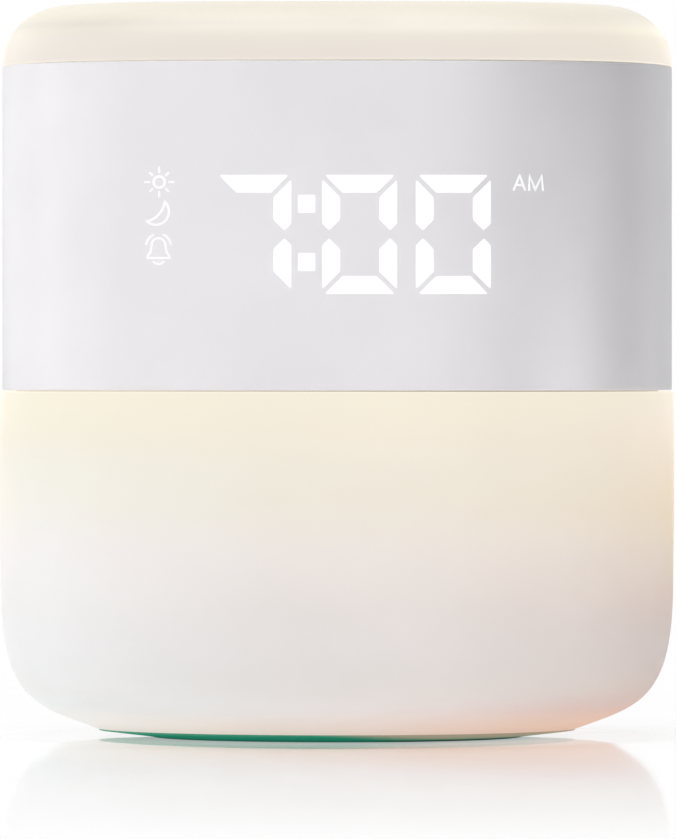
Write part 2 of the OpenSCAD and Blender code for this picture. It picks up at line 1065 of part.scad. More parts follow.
module button_switch() {
    z = upper_board_z + board_h;
    color(dark)
        difference() {
            translate([-3, -3, z])
                cube([6, 6, top_switch_h]);
            translate([0, 0, z + top_switch_h - plunger_in - button_travel - 0.3])
                cylinder(r = plunger_r + plunger_clear, h = 5);
        }
}

module button_plunger() {
    z = upper_board_z + board_h + top_switch_h - plunger_in;
    color(dark)
        translate([0, 0, z])
            cylinder(r = plunger_r, h = top_plunger_top - z);
}

lower_diffuser();
display_band();
top_diffuser();
base_plate();
foot_ring();
battery_cover();
coin_cell();
cell_holder();
cell_contacts();
reflector_cone();
lower_deck();
upper_deck();
lower_light_board();
lower_leds();
top_light_board();
top_leds();
main_board();
board_components();
tact_switches();
key(0);  // key_clock
key(1);  // key_alarm
key(2);  // key_up
key(3);  // key_down
key(4);  // key_light
key(5);  // key_sound
plunger(0);  // plunger_clock
plunger(1);  // plunger_alarm
plunger(2);  // plunger_up
plunger(3);  // plunger_down
plunger(4);  // plunger_light
plunger(5);  // plunger_sound
display_board();
display_block();
digit_pipes();
colon_pipes();
symbol_pipes();
day_half_pipe();
display_film();
speaker_frame();
speaker_magnet();
speaker_cone();
speaker_gasket();
power_jack();
power_jack_pin();
base_screws();
deck_screws();
ribbon_cable();
light_cables();
top_button();
button_guide();
return_dome();
button_switch();
button_plunger();
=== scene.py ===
# %% [markdown]
# # A child's bedside clock with two glowing diffusers
#
# The clock is a soft column, 115 mm wide and 125 mm tall. A white satin band carries a display that shows
# only where it is lit. A milky cap glows above the band, and a taller milky body glows below it, standing
# on a thin teal plate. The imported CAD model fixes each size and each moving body, so the first cell loads
# it. All that follows is built in its frame, in metres.

import json
import math

import bmesh
import bpy
import numpy as np
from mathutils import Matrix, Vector

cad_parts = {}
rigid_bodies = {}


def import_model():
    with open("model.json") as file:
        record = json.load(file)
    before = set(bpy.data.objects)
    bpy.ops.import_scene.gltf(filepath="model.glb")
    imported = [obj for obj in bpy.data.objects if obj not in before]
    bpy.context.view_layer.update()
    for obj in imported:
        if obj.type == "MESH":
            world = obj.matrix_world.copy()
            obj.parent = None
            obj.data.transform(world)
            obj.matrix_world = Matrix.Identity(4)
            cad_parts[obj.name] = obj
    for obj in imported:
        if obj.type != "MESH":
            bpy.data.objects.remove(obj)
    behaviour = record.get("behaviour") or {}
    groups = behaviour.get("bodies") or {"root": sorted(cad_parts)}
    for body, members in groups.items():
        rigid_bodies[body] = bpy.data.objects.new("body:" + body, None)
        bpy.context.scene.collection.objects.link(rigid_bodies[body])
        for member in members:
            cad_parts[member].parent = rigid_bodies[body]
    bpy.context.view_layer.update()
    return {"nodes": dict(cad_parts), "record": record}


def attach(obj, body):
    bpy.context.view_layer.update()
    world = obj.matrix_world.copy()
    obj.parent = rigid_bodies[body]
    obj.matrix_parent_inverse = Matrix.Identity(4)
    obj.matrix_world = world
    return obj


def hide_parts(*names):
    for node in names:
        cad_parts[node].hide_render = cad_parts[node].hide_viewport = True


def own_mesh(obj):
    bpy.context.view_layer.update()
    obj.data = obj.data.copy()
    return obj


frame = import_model()
MM = 0.001

# %% [markdown]
# ## A short way to write shader nodes
#
# Every finish below is a small tree of nodes. Adding a node, setting its inputs and linking it takes many
# lines in plain Blender code, so a few helpers do it. The first adds a node of any kind, the next ones add
# the kinds that are used most, and the last ones start a node group and place it. An input given as a
# socket is linked, and anything else is set as a value.

# %% Node helpers
def put(tree, kind, inputs=(), **settings):
    node = tree.nodes.new("ShaderNode" + kind)
    for name, value in settings.items():
        setattr(node, name, value)
    for key, value in dict(inputs).items():
        if isinstance(value, bpy.types.NodeSocket):
            tree.links.new(value, node.inputs[key])
        else:
            node.inputs[key].default_value = value
    return node


def calc(tree, operation, *values, clamp=False):
    return put(tree, "Math", enumerate(values), operation=operation, use_clamp=clamp).outputs[0]


def vector_calc(tree, operation, first, second):
    """The same for two colours or two vectors."""
    return put(tree, "VectorMath", {0: first, 1: second}, operation=operation).outputs[0]


def scaled(tree, colour, gain):
    return put(tree, "VectorMath", {0: colour, "Scale": gain}, operation="SCALE").outputs[0]


def blend(tree, share, first, second):
    """Mixes two colours. The Mix node's colour sockets are numbers 6 and 7, and output 2."""
    return put(tree, "Mix", {0: share, 6: first, 7: second}, data_type="RGBA").outputs[2]


print("helpers: put, calc, vector_calc, scaled and blend")

# %% Helpers for places and ranges
def own_place(tree):
    """A point's place in the object's own frame, in metres."""
    return put(tree, "TexCoord").outputs["Object"]


def own_xyz(tree):
    """The same as three outputs, X, Y and Z."""
    return put(tree, "SeparateXYZ", {0: own_place(tree)}).outputs


def noise(tree, scale, detail, **more):
    values = {"Vector": own_place(tree), "Scale": scale, "Detail": detail, **more}
    return put(tree, "TexNoise", values).outputs[0]


def between(tree, value, low, high, at_low=0.0, at_high=1.0):
    """Runs from at_low to at_high while the value goes from low to high, and stays level outside."""
    return put(tree, "MapRange", {
        "Value": value, "From Min": low, "From Max": high, "To Min": at_low, "To Max": at_high,
    }).outputs[0]


print("helpers: own_place, own_xyz, noise and between")

# %% Helpers for node groups and colours
def start_group(name, inputs, outputs):
    """Returns an empty node group, its input node and its output node. Outputs are Float or Color."""
    tree = bpy.data.node_groups.new(name, "ShaderNodeTree")
    for label, value in inputs.items():
        kind = "NodeSocketColor" if isinstance(value, tuple) else "NodeSocketFloat"
        tree.interface.new_socket(name=label, in_out="INPUT", socket_type=kind).default_value = value
    for label, kind in outputs.items():
        tree.interface.new_socket(name=label, in_out="OUTPUT", socket_type="NodeSocket" + kind)
    return tree, tree.nodes.new("NodeGroupInput").outputs, tree.nodes.new("NodeGroupOutput").inputs


def place(tree, group, **inputs):
    """Puts a group into a tree. An input's name has underscores for the spaces of its label."""
    node = tree.nodes.new("ShaderNodeGroup")
    node.node_tree = group
    for key, value in inputs.items():
        socket = node.inputs[key.replace("_", " ")]
        if isinstance(value, bpy.types.NodeSocket):
            tree.links.new(value, socket)
        else:
            socket.default_value = value
    return node.outputs


def rgb(red, green, blue):
    """A colour picked from a screen, 0 to 255, as the linear light that shaders work in."""
    channels = [v / 255 for v in (red, green, blue)]
    return tuple(c / 12.92 if c <= 0.04045 else ((c + 0.055) / 1.055) ** 2.4 for c in channels) + (1.0,)


print("a screen grey of 128 is", round(rgb(128, 128, 128)[0], 3), "of full light")

# %% [markdown]
# ## Grain of a spark-eroded mould
#
# Satin plastic gets its look from its mould, whose steel is etched to a fine grain. The grain is far
# smaller than a millimetre, so a noise texture on the object's own coordinates makes it, and no picture is
# needed. The same broad noise that makes the wall a little uneven also shifts the gloss, as uneven cooling
# does.

# %% Node group: mould grain
FULL_SWING = 4.0    # a noise rarely leaves its middle by more than a quarter

mould_grain, given, made = start_group(
    "mould_grain",
    {"Grain per mm": 3.0, "Unevenness": 0.4, "Roughness": 0.4, "Roughness spread": 0.06},
    {"Height": "Float", "Roughness": "Float"},
)
fine = noise(mould_grain, calc(mould_grain, "MULTIPLY", given["Grain per mm"], 1 / MM), 2.0)
broad = noise(mould_grain, 90.0, 2.0)
uneven = calc(mould_grain, "MULTIPLY", broad, given["Unevenness"])
mould_grain.links.new(calc(mould_grain, "ADD", fine, uneven), made["Height"])
swing = calc(mould_grain, "MULTIPLY", given["Roughness spread"], FULL_SWING)
shift = calc(mould_grain, "MULTIPLY", calc(mould_grain, "SUBTRACT", broad, 0.5), swing)
mould_grain.links.new(calc(mould_grain, "ADD", given["Roughness"], shift, clamp=True), made["Roughness"])
print("mould_grain:", len(mould_grain.nodes), "nodes")

# %% [markdown]
# ## Slow drift of colour
#
# No moulding has exactly one colour. The pigment flows with the melt and leaves soft patches, centimetres
# wide and a per cent or two apart. The eye doesn't name them but misses them when they aren't there.

# %% Node group: colour drift
colour_drift, given, made = start_group(
    "colour_drift",
    {"Colour": (0.8, 0.8, 0.8, 1.0), "Spread": 0.03, "Patch per mm": 0.05},
    {"Colour": "Color"},
)
patches = noise(colour_drift, calc(colour_drift, "MULTIPLY", given["Patch per mm"], 1 / MM), 3.0)
gain = calc(colour_drift, "MULTIPLY", calc(colour_drift, "SUBTRACT", patches, 0.5), given["Spread"])
gain = calc(colour_drift, "ADD", calc(colour_drift, "MULTIPLY", gain, FULL_SWING), 1.0)
colour_drift.links.new(scaled(colour_drift, given["Colour"], gain), made["Colour"])
print("colour_drift:", len(colour_drift.nodes), "nodes")

# %% [markdown]
# ## Rubbed edges and settled dust
#
# Hands and cloths polish the edges first, and dust comes to rest on what faces up. The edge mask compares
# the surface's normal with one that has been averaged over a small radius: they differ only near an edge.
# The dust mask looks at how far a surface faces up. A noise breaks both up, because neither is ever even.

# %% Node group: rubbed edges
rubbed_edges, given, made = start_group(
    "rubbed_edges", {"Radius": 0.0005, "Strength": 0.5, "Patch per mm": 0.35}, {"Mask": "Float"}
)
rounded = put(rubbed_edges, "Bevel", {"Radius": given["Radius"]}, samples=4).outputs[0]
straight = put(rubbed_edges, "NewGeometry").outputs["Normal"]
agree = put(rubbed_edges, "VectorMath", {0: rounded, 1: straight}, operation="DOT_PRODUCT").outputs["Value"]
edge = calc(rubbed_edges, "MULTIPLY", calc(rubbed_edges, "SUBTRACT", 1.0, agree), 6.0, clamp=True)
broken = noise(rubbed_edges, calc(rubbed_edges, "MULTIPLY", given["Patch per mm"], 1 / MM), 4.0)
broken = between(rubbed_edges, broken, 0.35, 0.65)
edge = calc(rubbed_edges, "MULTIPLY", calc(rubbed_edges, "MULTIPLY", edge, broken), given["Strength"])
rubbed_edges.links.new(edge, made["Mask"])
print("rubbed_edges:", len(rubbed_edges.nodes), "nodes")

# %% Node group: settled dust
settled_dust, given, made = start_group(
    "settled_dust", {"Amount": 0.2, "Specks per mm": 0.9}, {"Mask": "Float"}
)
normal = put(settled_dust, "NewGeometry").outputs["Normal"]
upward = between(settled_dust, put(settled_dust, "SeparateXYZ", {0: normal}).outputs["Z"], 0.55, 1.0)
specks_per_metre = calc(settled_dust, "MULTIPLY", given["Specks per mm"], 1 / MM)
specks = between(settled_dust, noise(settled_dust, specks_per_metre, 5.0, Roughness=0.75), 0.42, 0.75)
dust = calc(settled_dust, "MULTIPLY", calc(settled_dust, "MULTIPLY", upward, specks), given["Amount"])
settled_dust.links.new(dust, made["Mask"])
print("settled_dust:", len(settled_dust.nodes), "nodes")

# %% [markdown]
# ## One recipe for every moulding
#
# Band, keys, base, foot and inner parts are all mouldings, so one function places the four groups in a
# fresh material and links them to its Principled shader. What differs is what it is given: colour, gloss,
# grain and how worn it is. Values that are the same all over are set on the shader's own sockets.

# %% Moulded finishes
DUST_GREY = (0.62, 0.60, 0.57, 1.0)
finishes = {}


def moulding(name, colour, roughness, worn, grain=3.0, depth=0.004, drift=0.025, wear=0.35, dust=0.12,
             **shader_values):
    """A moulded finish. Grain is how many bumps a millimetre has, and depth is their height in mm."""
    material = bpy.data.materials.new(name)
    material.use_nodes = True
    tree = material.node_tree
    shader = tree.nodes["Principled BSDF"]
    grained = place(tree, mould_grain, Grain_per_mm=grain, Roughness=roughness)
    tint = place(tree, colour_drift, Colour=colour, Spread=drift)["Colour"]
    tint = blend(tree, place(tree, rubbed_edges, Strength=wear)["Mask"], tint, worn)
    lying = place(tree, settled_dust, Amount=dust)["Mask"]
    tree.links.new(blend(tree, lying, tint, DUST_GREY), shader.inputs["Base Color"])
    tree.links.new(calc(tree, "ADD", grained["Roughness"], lying, clamp=True), shader.inputs["Roughness"])
    bump = put(tree, "Bump", {"Height": grained["Height"], "Strength": 1.0, "Distance": depth * MM})
    tree.links.new(bump.outputs[0], shader.inputs["Normal"])
    for label, value in shader_values.items():
        shader.inputs[label.replace("_", " ")].default_value = value
    finishes[name] = material
    return material


RUBBER = {"colour": rgb(40, 42, 41), "roughness": 0.72, "worn": rgb(78, 78, 76), "grain": 2.0, "depth": 0.02,
          "dust": 0.0}
moulding("satin_white", rgb(240, 238, 241), 0.38, rgb(222, 220, 222), wear=0.5, Metallic=0.25)
# The button's finish is satin_white darkened as painted shade, because the top panel lights the button
# strongly.
moulding("button_satin_painted_shade", rgb(206, 204, 207), 0.45, rgb(222, 220, 222), dust=0.2)
moulding("key_plastic", rgb(236, 234, 236), 0.36, rgb(250, 250, 250), grain=4.0)
moulding("teal_plastic", rgb(34, 128, 106), 0.34, rgb(90, 165, 145), grain=2.5, depth=0.008)
moulding("foot_rubber", **RUBBER)
moulding("black_plastic", rgb(32, 33, 35), 0.45, rgb(92, 92, 92))
moulding("inner_white", rgb(240, 240, 236), 0.55, rgb(250, 250, 248))
moulding("silicone", rgb(198, 198, 193), 0.3, rgb(220, 220, 214), Coat_Weight=0.2)
moulding("speaker_paper", rgb(46, 46, 47), 0.9, rgb(86, 86, 84), grain=1.2, depth=0.06, drift=0.12)
moulding("key_print", rgb(112, 113, 118), 0.5, rgb(170, 170, 172), drift=0.06, wear=0.6)
print("mouldings:", ", ".join(sorted(finishes)))

# %% [markdown]
# ## The plate's rim
#
# The rim of the base plate is brighter than its colour alone would make it: teal on the left, and a warm sage
# on the right. This is painted light. The plate gets a weak glow of its own, mixed by place: dim teal under
# the middle, teal on the left of the rim and sage on its right, where the colour is painted sage as well. The
# side of the rubber ring gets a little painted teal light on its left. The glow is seen, but Cycles is told
# not to light other things with it.

# %% Painted light on the base plate
def shines(material, colour):
    """Links the colour of the light that a finish gives off."""
    tree = material.node_tree
    tree.links.new(colour, tree.nodes["Principled BSDF"].inputs["Emission Color"])
    material.cycles.emission_sampling = "NONE"


def overpaint(material, share, colour):
    """Paints a colour over what already feeds the base colour."""
    tree = material.node_tree
    base = tree.nodes["Principled BSDF"].inputs["Base Color"]
    tree.links.new(blend(tree, share, base.links[0].from_socket, colour), base)


def from_axis(tree, where):
    """How far a point is from the clock's upright axis."""
    square = calc(tree, "MULTIPLY_ADD", where["X"], where["X"], calc(tree, "POWER", where["Y"], 2.0))
    return calc(tree, "SQRT", square)


# LEAN tilts the edge of the painted sage light on the rim
LEAN = 11.0    # the sage light's edge moves this many mm to the left for each mm that it is higher
teal = moulding("teal_plate_painted_light", rgb(30, 118, 96), 0.3, rgb(90, 165, 145), grain=2.5, dust=0.0,
                Emission_Strength=1.0)
tree = teal.node_tree
where = own_xyz(tree)
# Painted light: the plate's glow is dim teal inside the rim, teal on its left and sage on its right, and the
# right part's colour is painted sage too
rim = between(tree, from_axis(tree, where), 31 * MM, 36 * MM)
right = between(tree, calc(tree, "MULTIPLY_ADD", where["Z"], LEAN, where["X"]), 11 * MM, 24 * MM)
right = calc(tree, "MULTIPLY", right, rim)
painted_rim_light = blend(tree, right, rgb(23, 100, 79), rgb(126, 120, 104))
shines(teal, blend(tree, rim, rgb(16, 68, 54), painted_rim_light))
overpaint(teal, right, rgb(112, 116, 102))
print("teal_plate_painted_light glows teal on the left and sage on the right")

# %% Painted light on the rubber's side
tread = moulding("tread_rubber_painted_light", Emission_Strength=1.0, **RUBBER)
tree = tread.node_tree
where = own_xyz(tree)
# Painted teal light on the left outer side of the rubber ring
outer = between(tree, from_axis(tree, where), 31.45 * MM, 31.6 * MM)
left = between(tree, where["X"], 14 * MM, 2 * MM)
shines(tread, blend(tree, calc(tree, "MULTIPLY", outer, left), rgb(0, 0, 0), rgb(24, 92, 74)))
print("tread_rubber_painted_light is lit teal on its left outer side")

# %% [markdown]
# ## Metal, boards and cable
#
# The rest hides inside, and shows when a piece is taken apart. Plated steel is drawn in one direction, so
# its noise is stretched. A circuit board has fine tracks under its lacquer: cells of a Voronoi texture with
# straight borders give them. A flat cable is a row of round cores, which a sine across it models as bump.

# %% Drawn metal
def drawn_metal(name, colour, roughness):
    material = moulding(name, colour, roughness, rgb(235, 235, 232), drift=0.04, dust=0.0, Metallic=1.0)
    tree = material.node_tree
    stretched = put(tree, "Mapping", {0: own_place(tree), "Scale": (400, 6000, 6000)}).outputs[0]
    lines = put(tree, "TexNoise", {"Vector": stretched, "Scale": 1.0, "Detail": 3.0}).outputs[0]
    uneven = between(tree, lines, 0.0, 1.0, roughness - 0.1, roughness + 0.15)
    tree.links.new(uneven, tree.nodes["Principled BSDF"].inputs["Roughness"])


drawn_metal("steel", rgb(190, 191, 194), 0.3)
drawn_metal("gold_plate", rgb(214, 172, 96), 0.25)
print("steel and gold_plate drawn along X")

# %% Boards with tracks
CELLS_PER_METRE = 260.0


def circuit_board(name, lacquer, track):
    material = moulding(name, lacquer, 0.28, track, wear=0.2, dust=0.0, Coat_Weight=0.4)
    tree = material.node_tree
    cells = {"Vector": own_place(tree), "Scale": CELLS_PER_METRE, "Randomness": 0.8}
    to_edge = put(tree, "TexVoronoi", cells, feature="DISTANCE_TO_EDGE").outputs["Distance"]
    overpaint(material, between(tree, to_edge, 0.02, 0.05, 1.0, 0.0), track)


circuit_board("green_board", rgb(38, 98, 62), rgb(92, 150, 96))
circuit_board("white_board", rgb(232, 232, 228), rgb(206, 206, 200))
print("boards have tracks about", round(1000 / CELLS_PER_METRE), "mm apart")

# %% Ribbed flat cable
CORE_PITCH = 1.0 * MM
cable = moulding("grey_cable", rgb(178, 178, 176), 0.4, rgb(205, 205, 202), dust=0.0)
tree = cable.node_tree
ribs = calc(tree, "SINE", calc(tree, "MULTIPLY", own_xyz(tree)["X"], 2 * math.pi / CORE_PITCH))
cores = put(tree, "Bump", {"Height": ribs, "Distance": 0.15 * MM, "Normal": tree.nodes["Bump"].outputs[0]})
tree.links.new(cores.outputs[0], tree.nodes["Principled BSDF"].inputs["Normal"])
print("grey_cable: one rib each", CORE_PITCH / MM, "mm")

# %% [markdown]
# ## Opal plastic, lit from inside
#
# The diffusers are milky plastic with warm diodes behind them. Beside the light board the wall is so full
# of light that its own colour hardly counts: it is creamy and looks the same from all sides. Light that has
# travelled far through the milk is dim and red, so lower down the wall shows its own white, shaded by the
# room. A real light inside would need the wall to scatter it, which renders slowly and with grain. Here
# colour ramps over the height do it: one for the wall's colour, one for the light that it gives off, and a
# weaker one of painted light from the room, on one side only. The wall's ramp is painted as well: it is kept
# dark where the glow is strongest, so that the room's light hardly shows there. Where a ramp leans from left
# to right, it paints light and shade by side: the body's wall is darker on the shaded right, and the cap's
# glow is brighter on the right. In the seams, where the wall runs in behind the band, the glow is darkened
# by painted shade, more on the right than on the left.

# %% Colours by height
def by_height(tree, stops):
    """A smooth ramp over the object's height. Each stop is a height in mm and a linear colour."""
    low, high = stops[0][0], stops[-1][0]
    node = put(tree, "ValToRGB", {"Fac": between(tree, own_xyz(tree)["Z"], low * MM, high * MM)})
    ramp = node.color_ramp
    ramp.interpolation = "CARDINAL"
    while len(ramp.elements) < len(stops):
        ramp.elements.new(0.5)
    for element, (height, colour) in zip(ramp.elements, stops):
        element.position = (height - low) / (high - low)
    for element, (height, colour) in zip(ramp.elements, stops):
        element.color = colour + (1.0,)
    return node.outputs["Color"]


def over_wall(tree, stops, per_mm=(0, 0, 0), spread=0.0):
    """The ramp, times a gain that grows by per_mm to the right, and by spread to both sides."""
    along = own_xyz(tree)["X"]
    gain = scaled(tree, tuple(v / MM for v in per_mm), along)
    aside = calc(tree, "MULTIPLY_ADD", calc(tree, "ABSOLUTE", along), spread / MM, 1.0)
    return vector_calc(tree, "MULTIPLY", by_height(tree, stops), vector_calc(tree, "ADD", gain, aside))


print("two helpers for a wall's colours: by_height and over_wall")

# %% Opal finish
# Painted shade in the seams: a seam darkens the glow, more on the right than on the left
SEAM_LEFT, SEAM_RIGHT = 0.25, 0.68    # how much of the light a seam takes away, on the left and on the right


def glow_after_painted_seam_shade(tree, edge_z, gap_z):
    """What is left of the glow under the painted shade of a seam. Past edge_z, on the way to gap_z, the wall
    turns into the seam.
    """
    where = own_xyz(tree)
    gap = between(tree, where["Z"], edge_z * MM, gap_z * MM)
    taken = between(tree, where["X"], -40 * MM, 25 * MM, SEAM_LEFT, SEAM_RIGHT)
    return calc(tree, "SUBTRACT", 1.0, calc(tree, "MULTIPLY", gap, taken))


def opal(name, wall, glow, painted_side_light, seam, gloss):
    """A lit diffuser. Wall, glow and painted_side_light are what over_wall takes, and seam what glow_after_painted_seam_shade takes."""
    material = moulding(name, (0.5, 0.5, 0.5, 1.0), 0.46, rgb(222, 214, 204), grain=2.5, depth=0.003,
                        wear=0.2, Emission_Strength=1.0, Specular_IOR_Level=gloss)
    tree = material.node_tree
    drift = next(n for n in tree.nodes if n.type == "GROUP" and n.node_tree == colour_drift)
    tree.links.new(over_wall(tree, *wall), drift.inputs["Colour"])
    light = vector_calc(tree, "ADD", over_wall(tree, *glow), over_wall(tree, *painted_side_light))
    light = scaled(tree, vector_calc(tree, "MAXIMUM", light, (0, 0, 0)), glow_after_painted_seam_shade(tree, *seam))
    shines(material, place(tree, colour_drift, Colour=light, Spread=0.02, Patch_per_mm=0.03)["Colour"])


print("opal and glow_after_painted_seam_shade are ready")

# %% Finish of the body
# body_wall is painted, not the plastic's own colour: it is dark beside the seam, where the glow is strongest,
# so that the room's light hardly shows there, and pale and bluish lower down.
body_wall = [
    (0, (0.42, 0.52, 0.60)), (5.5, (0.45, 0.58, 0.68)), (9, (0.64, 0.74, 0.76)), (16, (0.74, 0.76, 0.77)),
    (24, (0.60, 0.70, 0.74)), (33, (0.43, 0.52, 0.66)), (40, (0.30, 0.45, 0.57)), (47, (0.17, 0.32, 0.38)),
    (52, (0.12, 0.22, 0.18)), (60, (0.12, 0.15, 0.10)),
]
# body_glow is the diodes' light, strongest at the seam. Below 9 mm it rises again: partly the diodes' own
# light, and partly painted light for what the table throws up onto the shoulder.
body_glow = [
    (0, (0.500, 0.350, 0.250)), (5, (0.461, 0.306, 0.206)), (9, (0.200, 0.080, 0.045)),
    (16, (0.120, 0.065, 0.045)), (24, (0.265, 0.125, 0.065)), (33, (0.458, 0.318, 0.148)),
    (40, (0.588, 0.398, 0.198)), (47, (0.718, 0.528, 0.368)), (52, (0.788, 0.628, 0.538)),
    (60, (0.808, 0.718, 0.618)),
]
# Painted cool light on the left of the foot, given off by the wall on its left side only
painted_cool_light_at_left_foot = [
    (0, (0.01, 0.02, 0.042)), (3.5, (0.01, 0.02, 0.04)), (6, (0.005, 0.014, 0.024)), (9, (0.0, 0.0, 0.0)),
]
# The wall's lean makes it darker and warmer to the right: painted shade on the side away from the panels.
opal("opal_body", wall=(body_wall, (-0.0005, -0.0014, -0.0018)), glow=(body_glow,),
     painted_side_light=(painted_cool_light_at_left_foot, (-0.03, -0.075, -0.04)), seam=(59.2, 59.25), gloss=0.1)
print("opal_body:", len(finishes["opal_body"].node_tree.nodes), "nodes")

# %% Finish of the cap
# cap_wall is painted like the body's: dark where the glow is strongest, and paler on the top, where the glow
# is weak.
cap_wall = [
    (111, (0.05, 0.05, 0.09)), (120.6, (0.05, 0.05, 0.1)), (122.4, (0.36, 0.34, 0.28)),
    (125, (0.42, 0.39, 0.34)),
]
cap_glow = [
    (111, (0.77, 0.71, 0.60)), (115.5, (0.785, 0.72, 0.605)), (118.5, (0.79, 0.73, 0.59)),
    (120.6, (0.72, 0.67, 0.53)), (122.4, (0.40, 0.38, 0.33)), (125, (0.34, 0.32, 0.28)),
]
# Painted light on the cap's rounded shoulder, on the right side only
painted_light_on_right_shoulder = [
    (111, (0.0, 0.0, 0.0)), (118.5, (0.0, 0.0, 0.0)), (120.6, (0.022, 0.022, 0.022)),
    (122.4, (0.01, 0.01, 0.01)), (125, (0.0, 0.0, 0.0)),
]
# The glow leans a little brighter and warmer to the right, painted light on the right side, and grows a
# little toward both sides.
opal("opal_cap", wall=(cap_wall,), glow=(cap_glow, (0.0003, 0.0002, 0.0001), 0.0006),
     painted_side_light=(painted_light_on_right_shoulder, (0.04, 0.04, 0.04)), seam=(114.6, 114.55), gloss=0.35)
print("opal_body and opal_cap glow without lighting the scene")

# %% Lit milky plastic
def lit(name, colour, light, strength):
    material = moulding(name, colour, 0.4, (0.9, 0.9, 0.9, 1.0), dust=0.0, wear=0.0,
                        Emission_Strength=strength)
    glow = place(material.node_tree, colour_drift, Colour=light, Spread=0.03, Patch_per_mm=0.2)
    shines(material, glow["Colour"])


lit("lit_white", (0.3, 0.3, 0.3, 1.0), (0.76, 0.76, 0.77, 1.0), 1.0)
lit("warm_led", (0.8, 0.6, 0.25, 1.0), (1.0, 0.8, 0.5, 1.0), 1.5)
print("finishes in all:", len(finishes))

# %% [markdown]
# ## Dress the CAD nodes
#
# A CAD node whose shape is already right keeps its mesh and gets a better finish. The record says which
# material slot each node has. Faces that meet at a shallow angle are shaded as one smooth surface, and the
# rest stay crisp.

# %% A finish for each slot of the record
FINISH_OF_NODE = {"base_plate": "teal_plate_painted_light"}
FINISH_OF_SLOT = {"opal": "opal_body"}    # every other slot has a finish of its own name


def shade(mesh, angle=32):
    mesh.polygons.foreach_set("use_smooth", [True] * len(mesh.polygons))
    mesh.set_sharp_from_angle(angle=math.radians(angle))


used = set()
for part in frame["record"]["subparts"]:
    slot = part["material_slot"]
    finish = FINISH_OF_NODE.get(part["node"], FINISH_OF_SLOT.get(slot, slot))
    mesh = frame["nodes"][part["node"]].data
    mesh.materials.clear()
    mesh.materials.append(finishes[finish])
    shade(mesh)
    used.add(finish)

# %% [markdown]
# ## Outlines and skins
#
# Seen from above the clock is a squircle, a curve between a square and a circle. Its power sets which: 2 is
# a circle, and 3.2 is this clock. A shell is a stack of such rings, joined by faces. The same tool turns
# round parts, because a circle is a squircle of power 2. Corners of a profile get a small radius, because a
# real moulding has no sharp edge, and it is the radius that catches the light.

# %% Squircle rings
AROUND = 360
PLAN_POWER = 3.2
BASE_A, BODY_A, WAIST_A = 40.9, 57.4, 57.5    # half widths at the base, the shoulder and the waist


def squircle(half_width, power, count=AROUND):
    angle = np.linspace(0, 2 * math.pi, count, endpoint=False)
    reach = half_width / (np.abs(np.cos(angle)) ** power + np.abs(np.sin(angle)) ** power) ** (1 / power)
    return np.column_stack([reach * np.cos(angle), reach * np.sin(angle)])


def plan_power(half_width, narrow=BASE_A, wide=BODY_A):
    """The plan turns from a circle into the squircle as the body widens above its base."""
    share = min(max((half_width - narrow) / (wide - narrow), 0), 1)
    return 2 + (PLAN_POWER - 2) * share * share * (3 - 2 * share)


corner_reach = float(np.hypot(*squircle(WAIST_A, PLAN_POWER).T).max())
print("the waist reaches", WAIST_A, "mm at its sides and", round(corner_reach, 2), "mm at its corners")

# %% Round corners for a profile
def soften(corners, steps=5):
    """Rounds the corners of a closed profile. Each is (half width, height, plan power, radius), in mm."""
    rows = []
    for i, (width, height, power, radius) in enumerate(corners):
        here = Vector((width, height))
        if radius == 0:
            rows.append((width, height, power))
            continue
        back = Vector(corners[i - 1][:2]) - here
        ahead = Vector(corners[(i + 1) % len(corners)][:2]) - here
        cut = min(radius / math.tan(back.angle(ahead) / 2), 0.45 * back.length, 0.45 * ahead.length)
        start, end = here + back.normalized() * cut, here + ahead.normalized() * cut
        for k in range(steps + 1):
            t = k / steps
            at = start * (1 - t) ** 2 + here * 2 * t * (1 - t) + end * t * t
            rows.append((at.x, at.y, power))
    return rows


print("a rounded corner has", len(soften([(0, 0, 2, 1), (9, 0, 2, 0), (9, 9, 2, 0)])) - 2, "points")

# %% Mesh pieces
MERGE = 0.0005 * MM


def skin(rings, ends=False):
    """Joins rings of equal length with quads, and the last ring to the first, unless the ends are capped."""
    count, around = len(rings), len(rings[0])
    points = [tuple(p) for ring in rings for p in ring]
    faces = []
    for k in range(count - 1 if ends else count):
        low, high = k * around, (k + 1) % count * around
        for i in range(around):
            j = (i + 1) % around
            faces.append((low + i, low + j, high + j, high + i))
    if ends:
        faces += [tuple(range(around))[::-1], tuple(range((count - 1) * around, count * around))]
    return points, faces


def turned(rows, around=AROUND):
    """Rings for a profile of (half width, height, plan power)."""
    rings = []
    for half_width, height, power in rows:
        plan = squircle(max(half_width, 1e-5), power, around)
        rings.append(np.column_stack([plan, np.full(around, height)]))
    return rings


def bare_mesh(name, points, faces):
    mesh = bpy.data.meshes.new(name)
    mesh.from_pydata([tuple(float(c) * MM for c in p) for p in points], [], faces)
    work = bmesh.new()
    work.from_mesh(mesh)
    bmesh.ops.remove_doubles(work, verts=work.verts, dist=MERGE)
    bmesh.ops.recalc_face_normals(work, faces=work.faces)
    work.to_mesh(mesh)
    work.free()
    obj = bpy.data.objects.new(name, mesh)
    bpy.context.scene.collection.objects.link(obj)
    return obj


def fit(obj, body, slot, finish, *stands_for):
    """Gives a piece its finish, lets it ride on a body, and hides the CAD nodes that it stands for."""
    obj.data.materials.clear()
    obj.data.materials.append(finishes[finish])
    shade(obj.data)
    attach(obj, body)
    if stands_for:
        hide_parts(*stands_for)
    return obj


print("shells have", AROUND, "points round the plan")

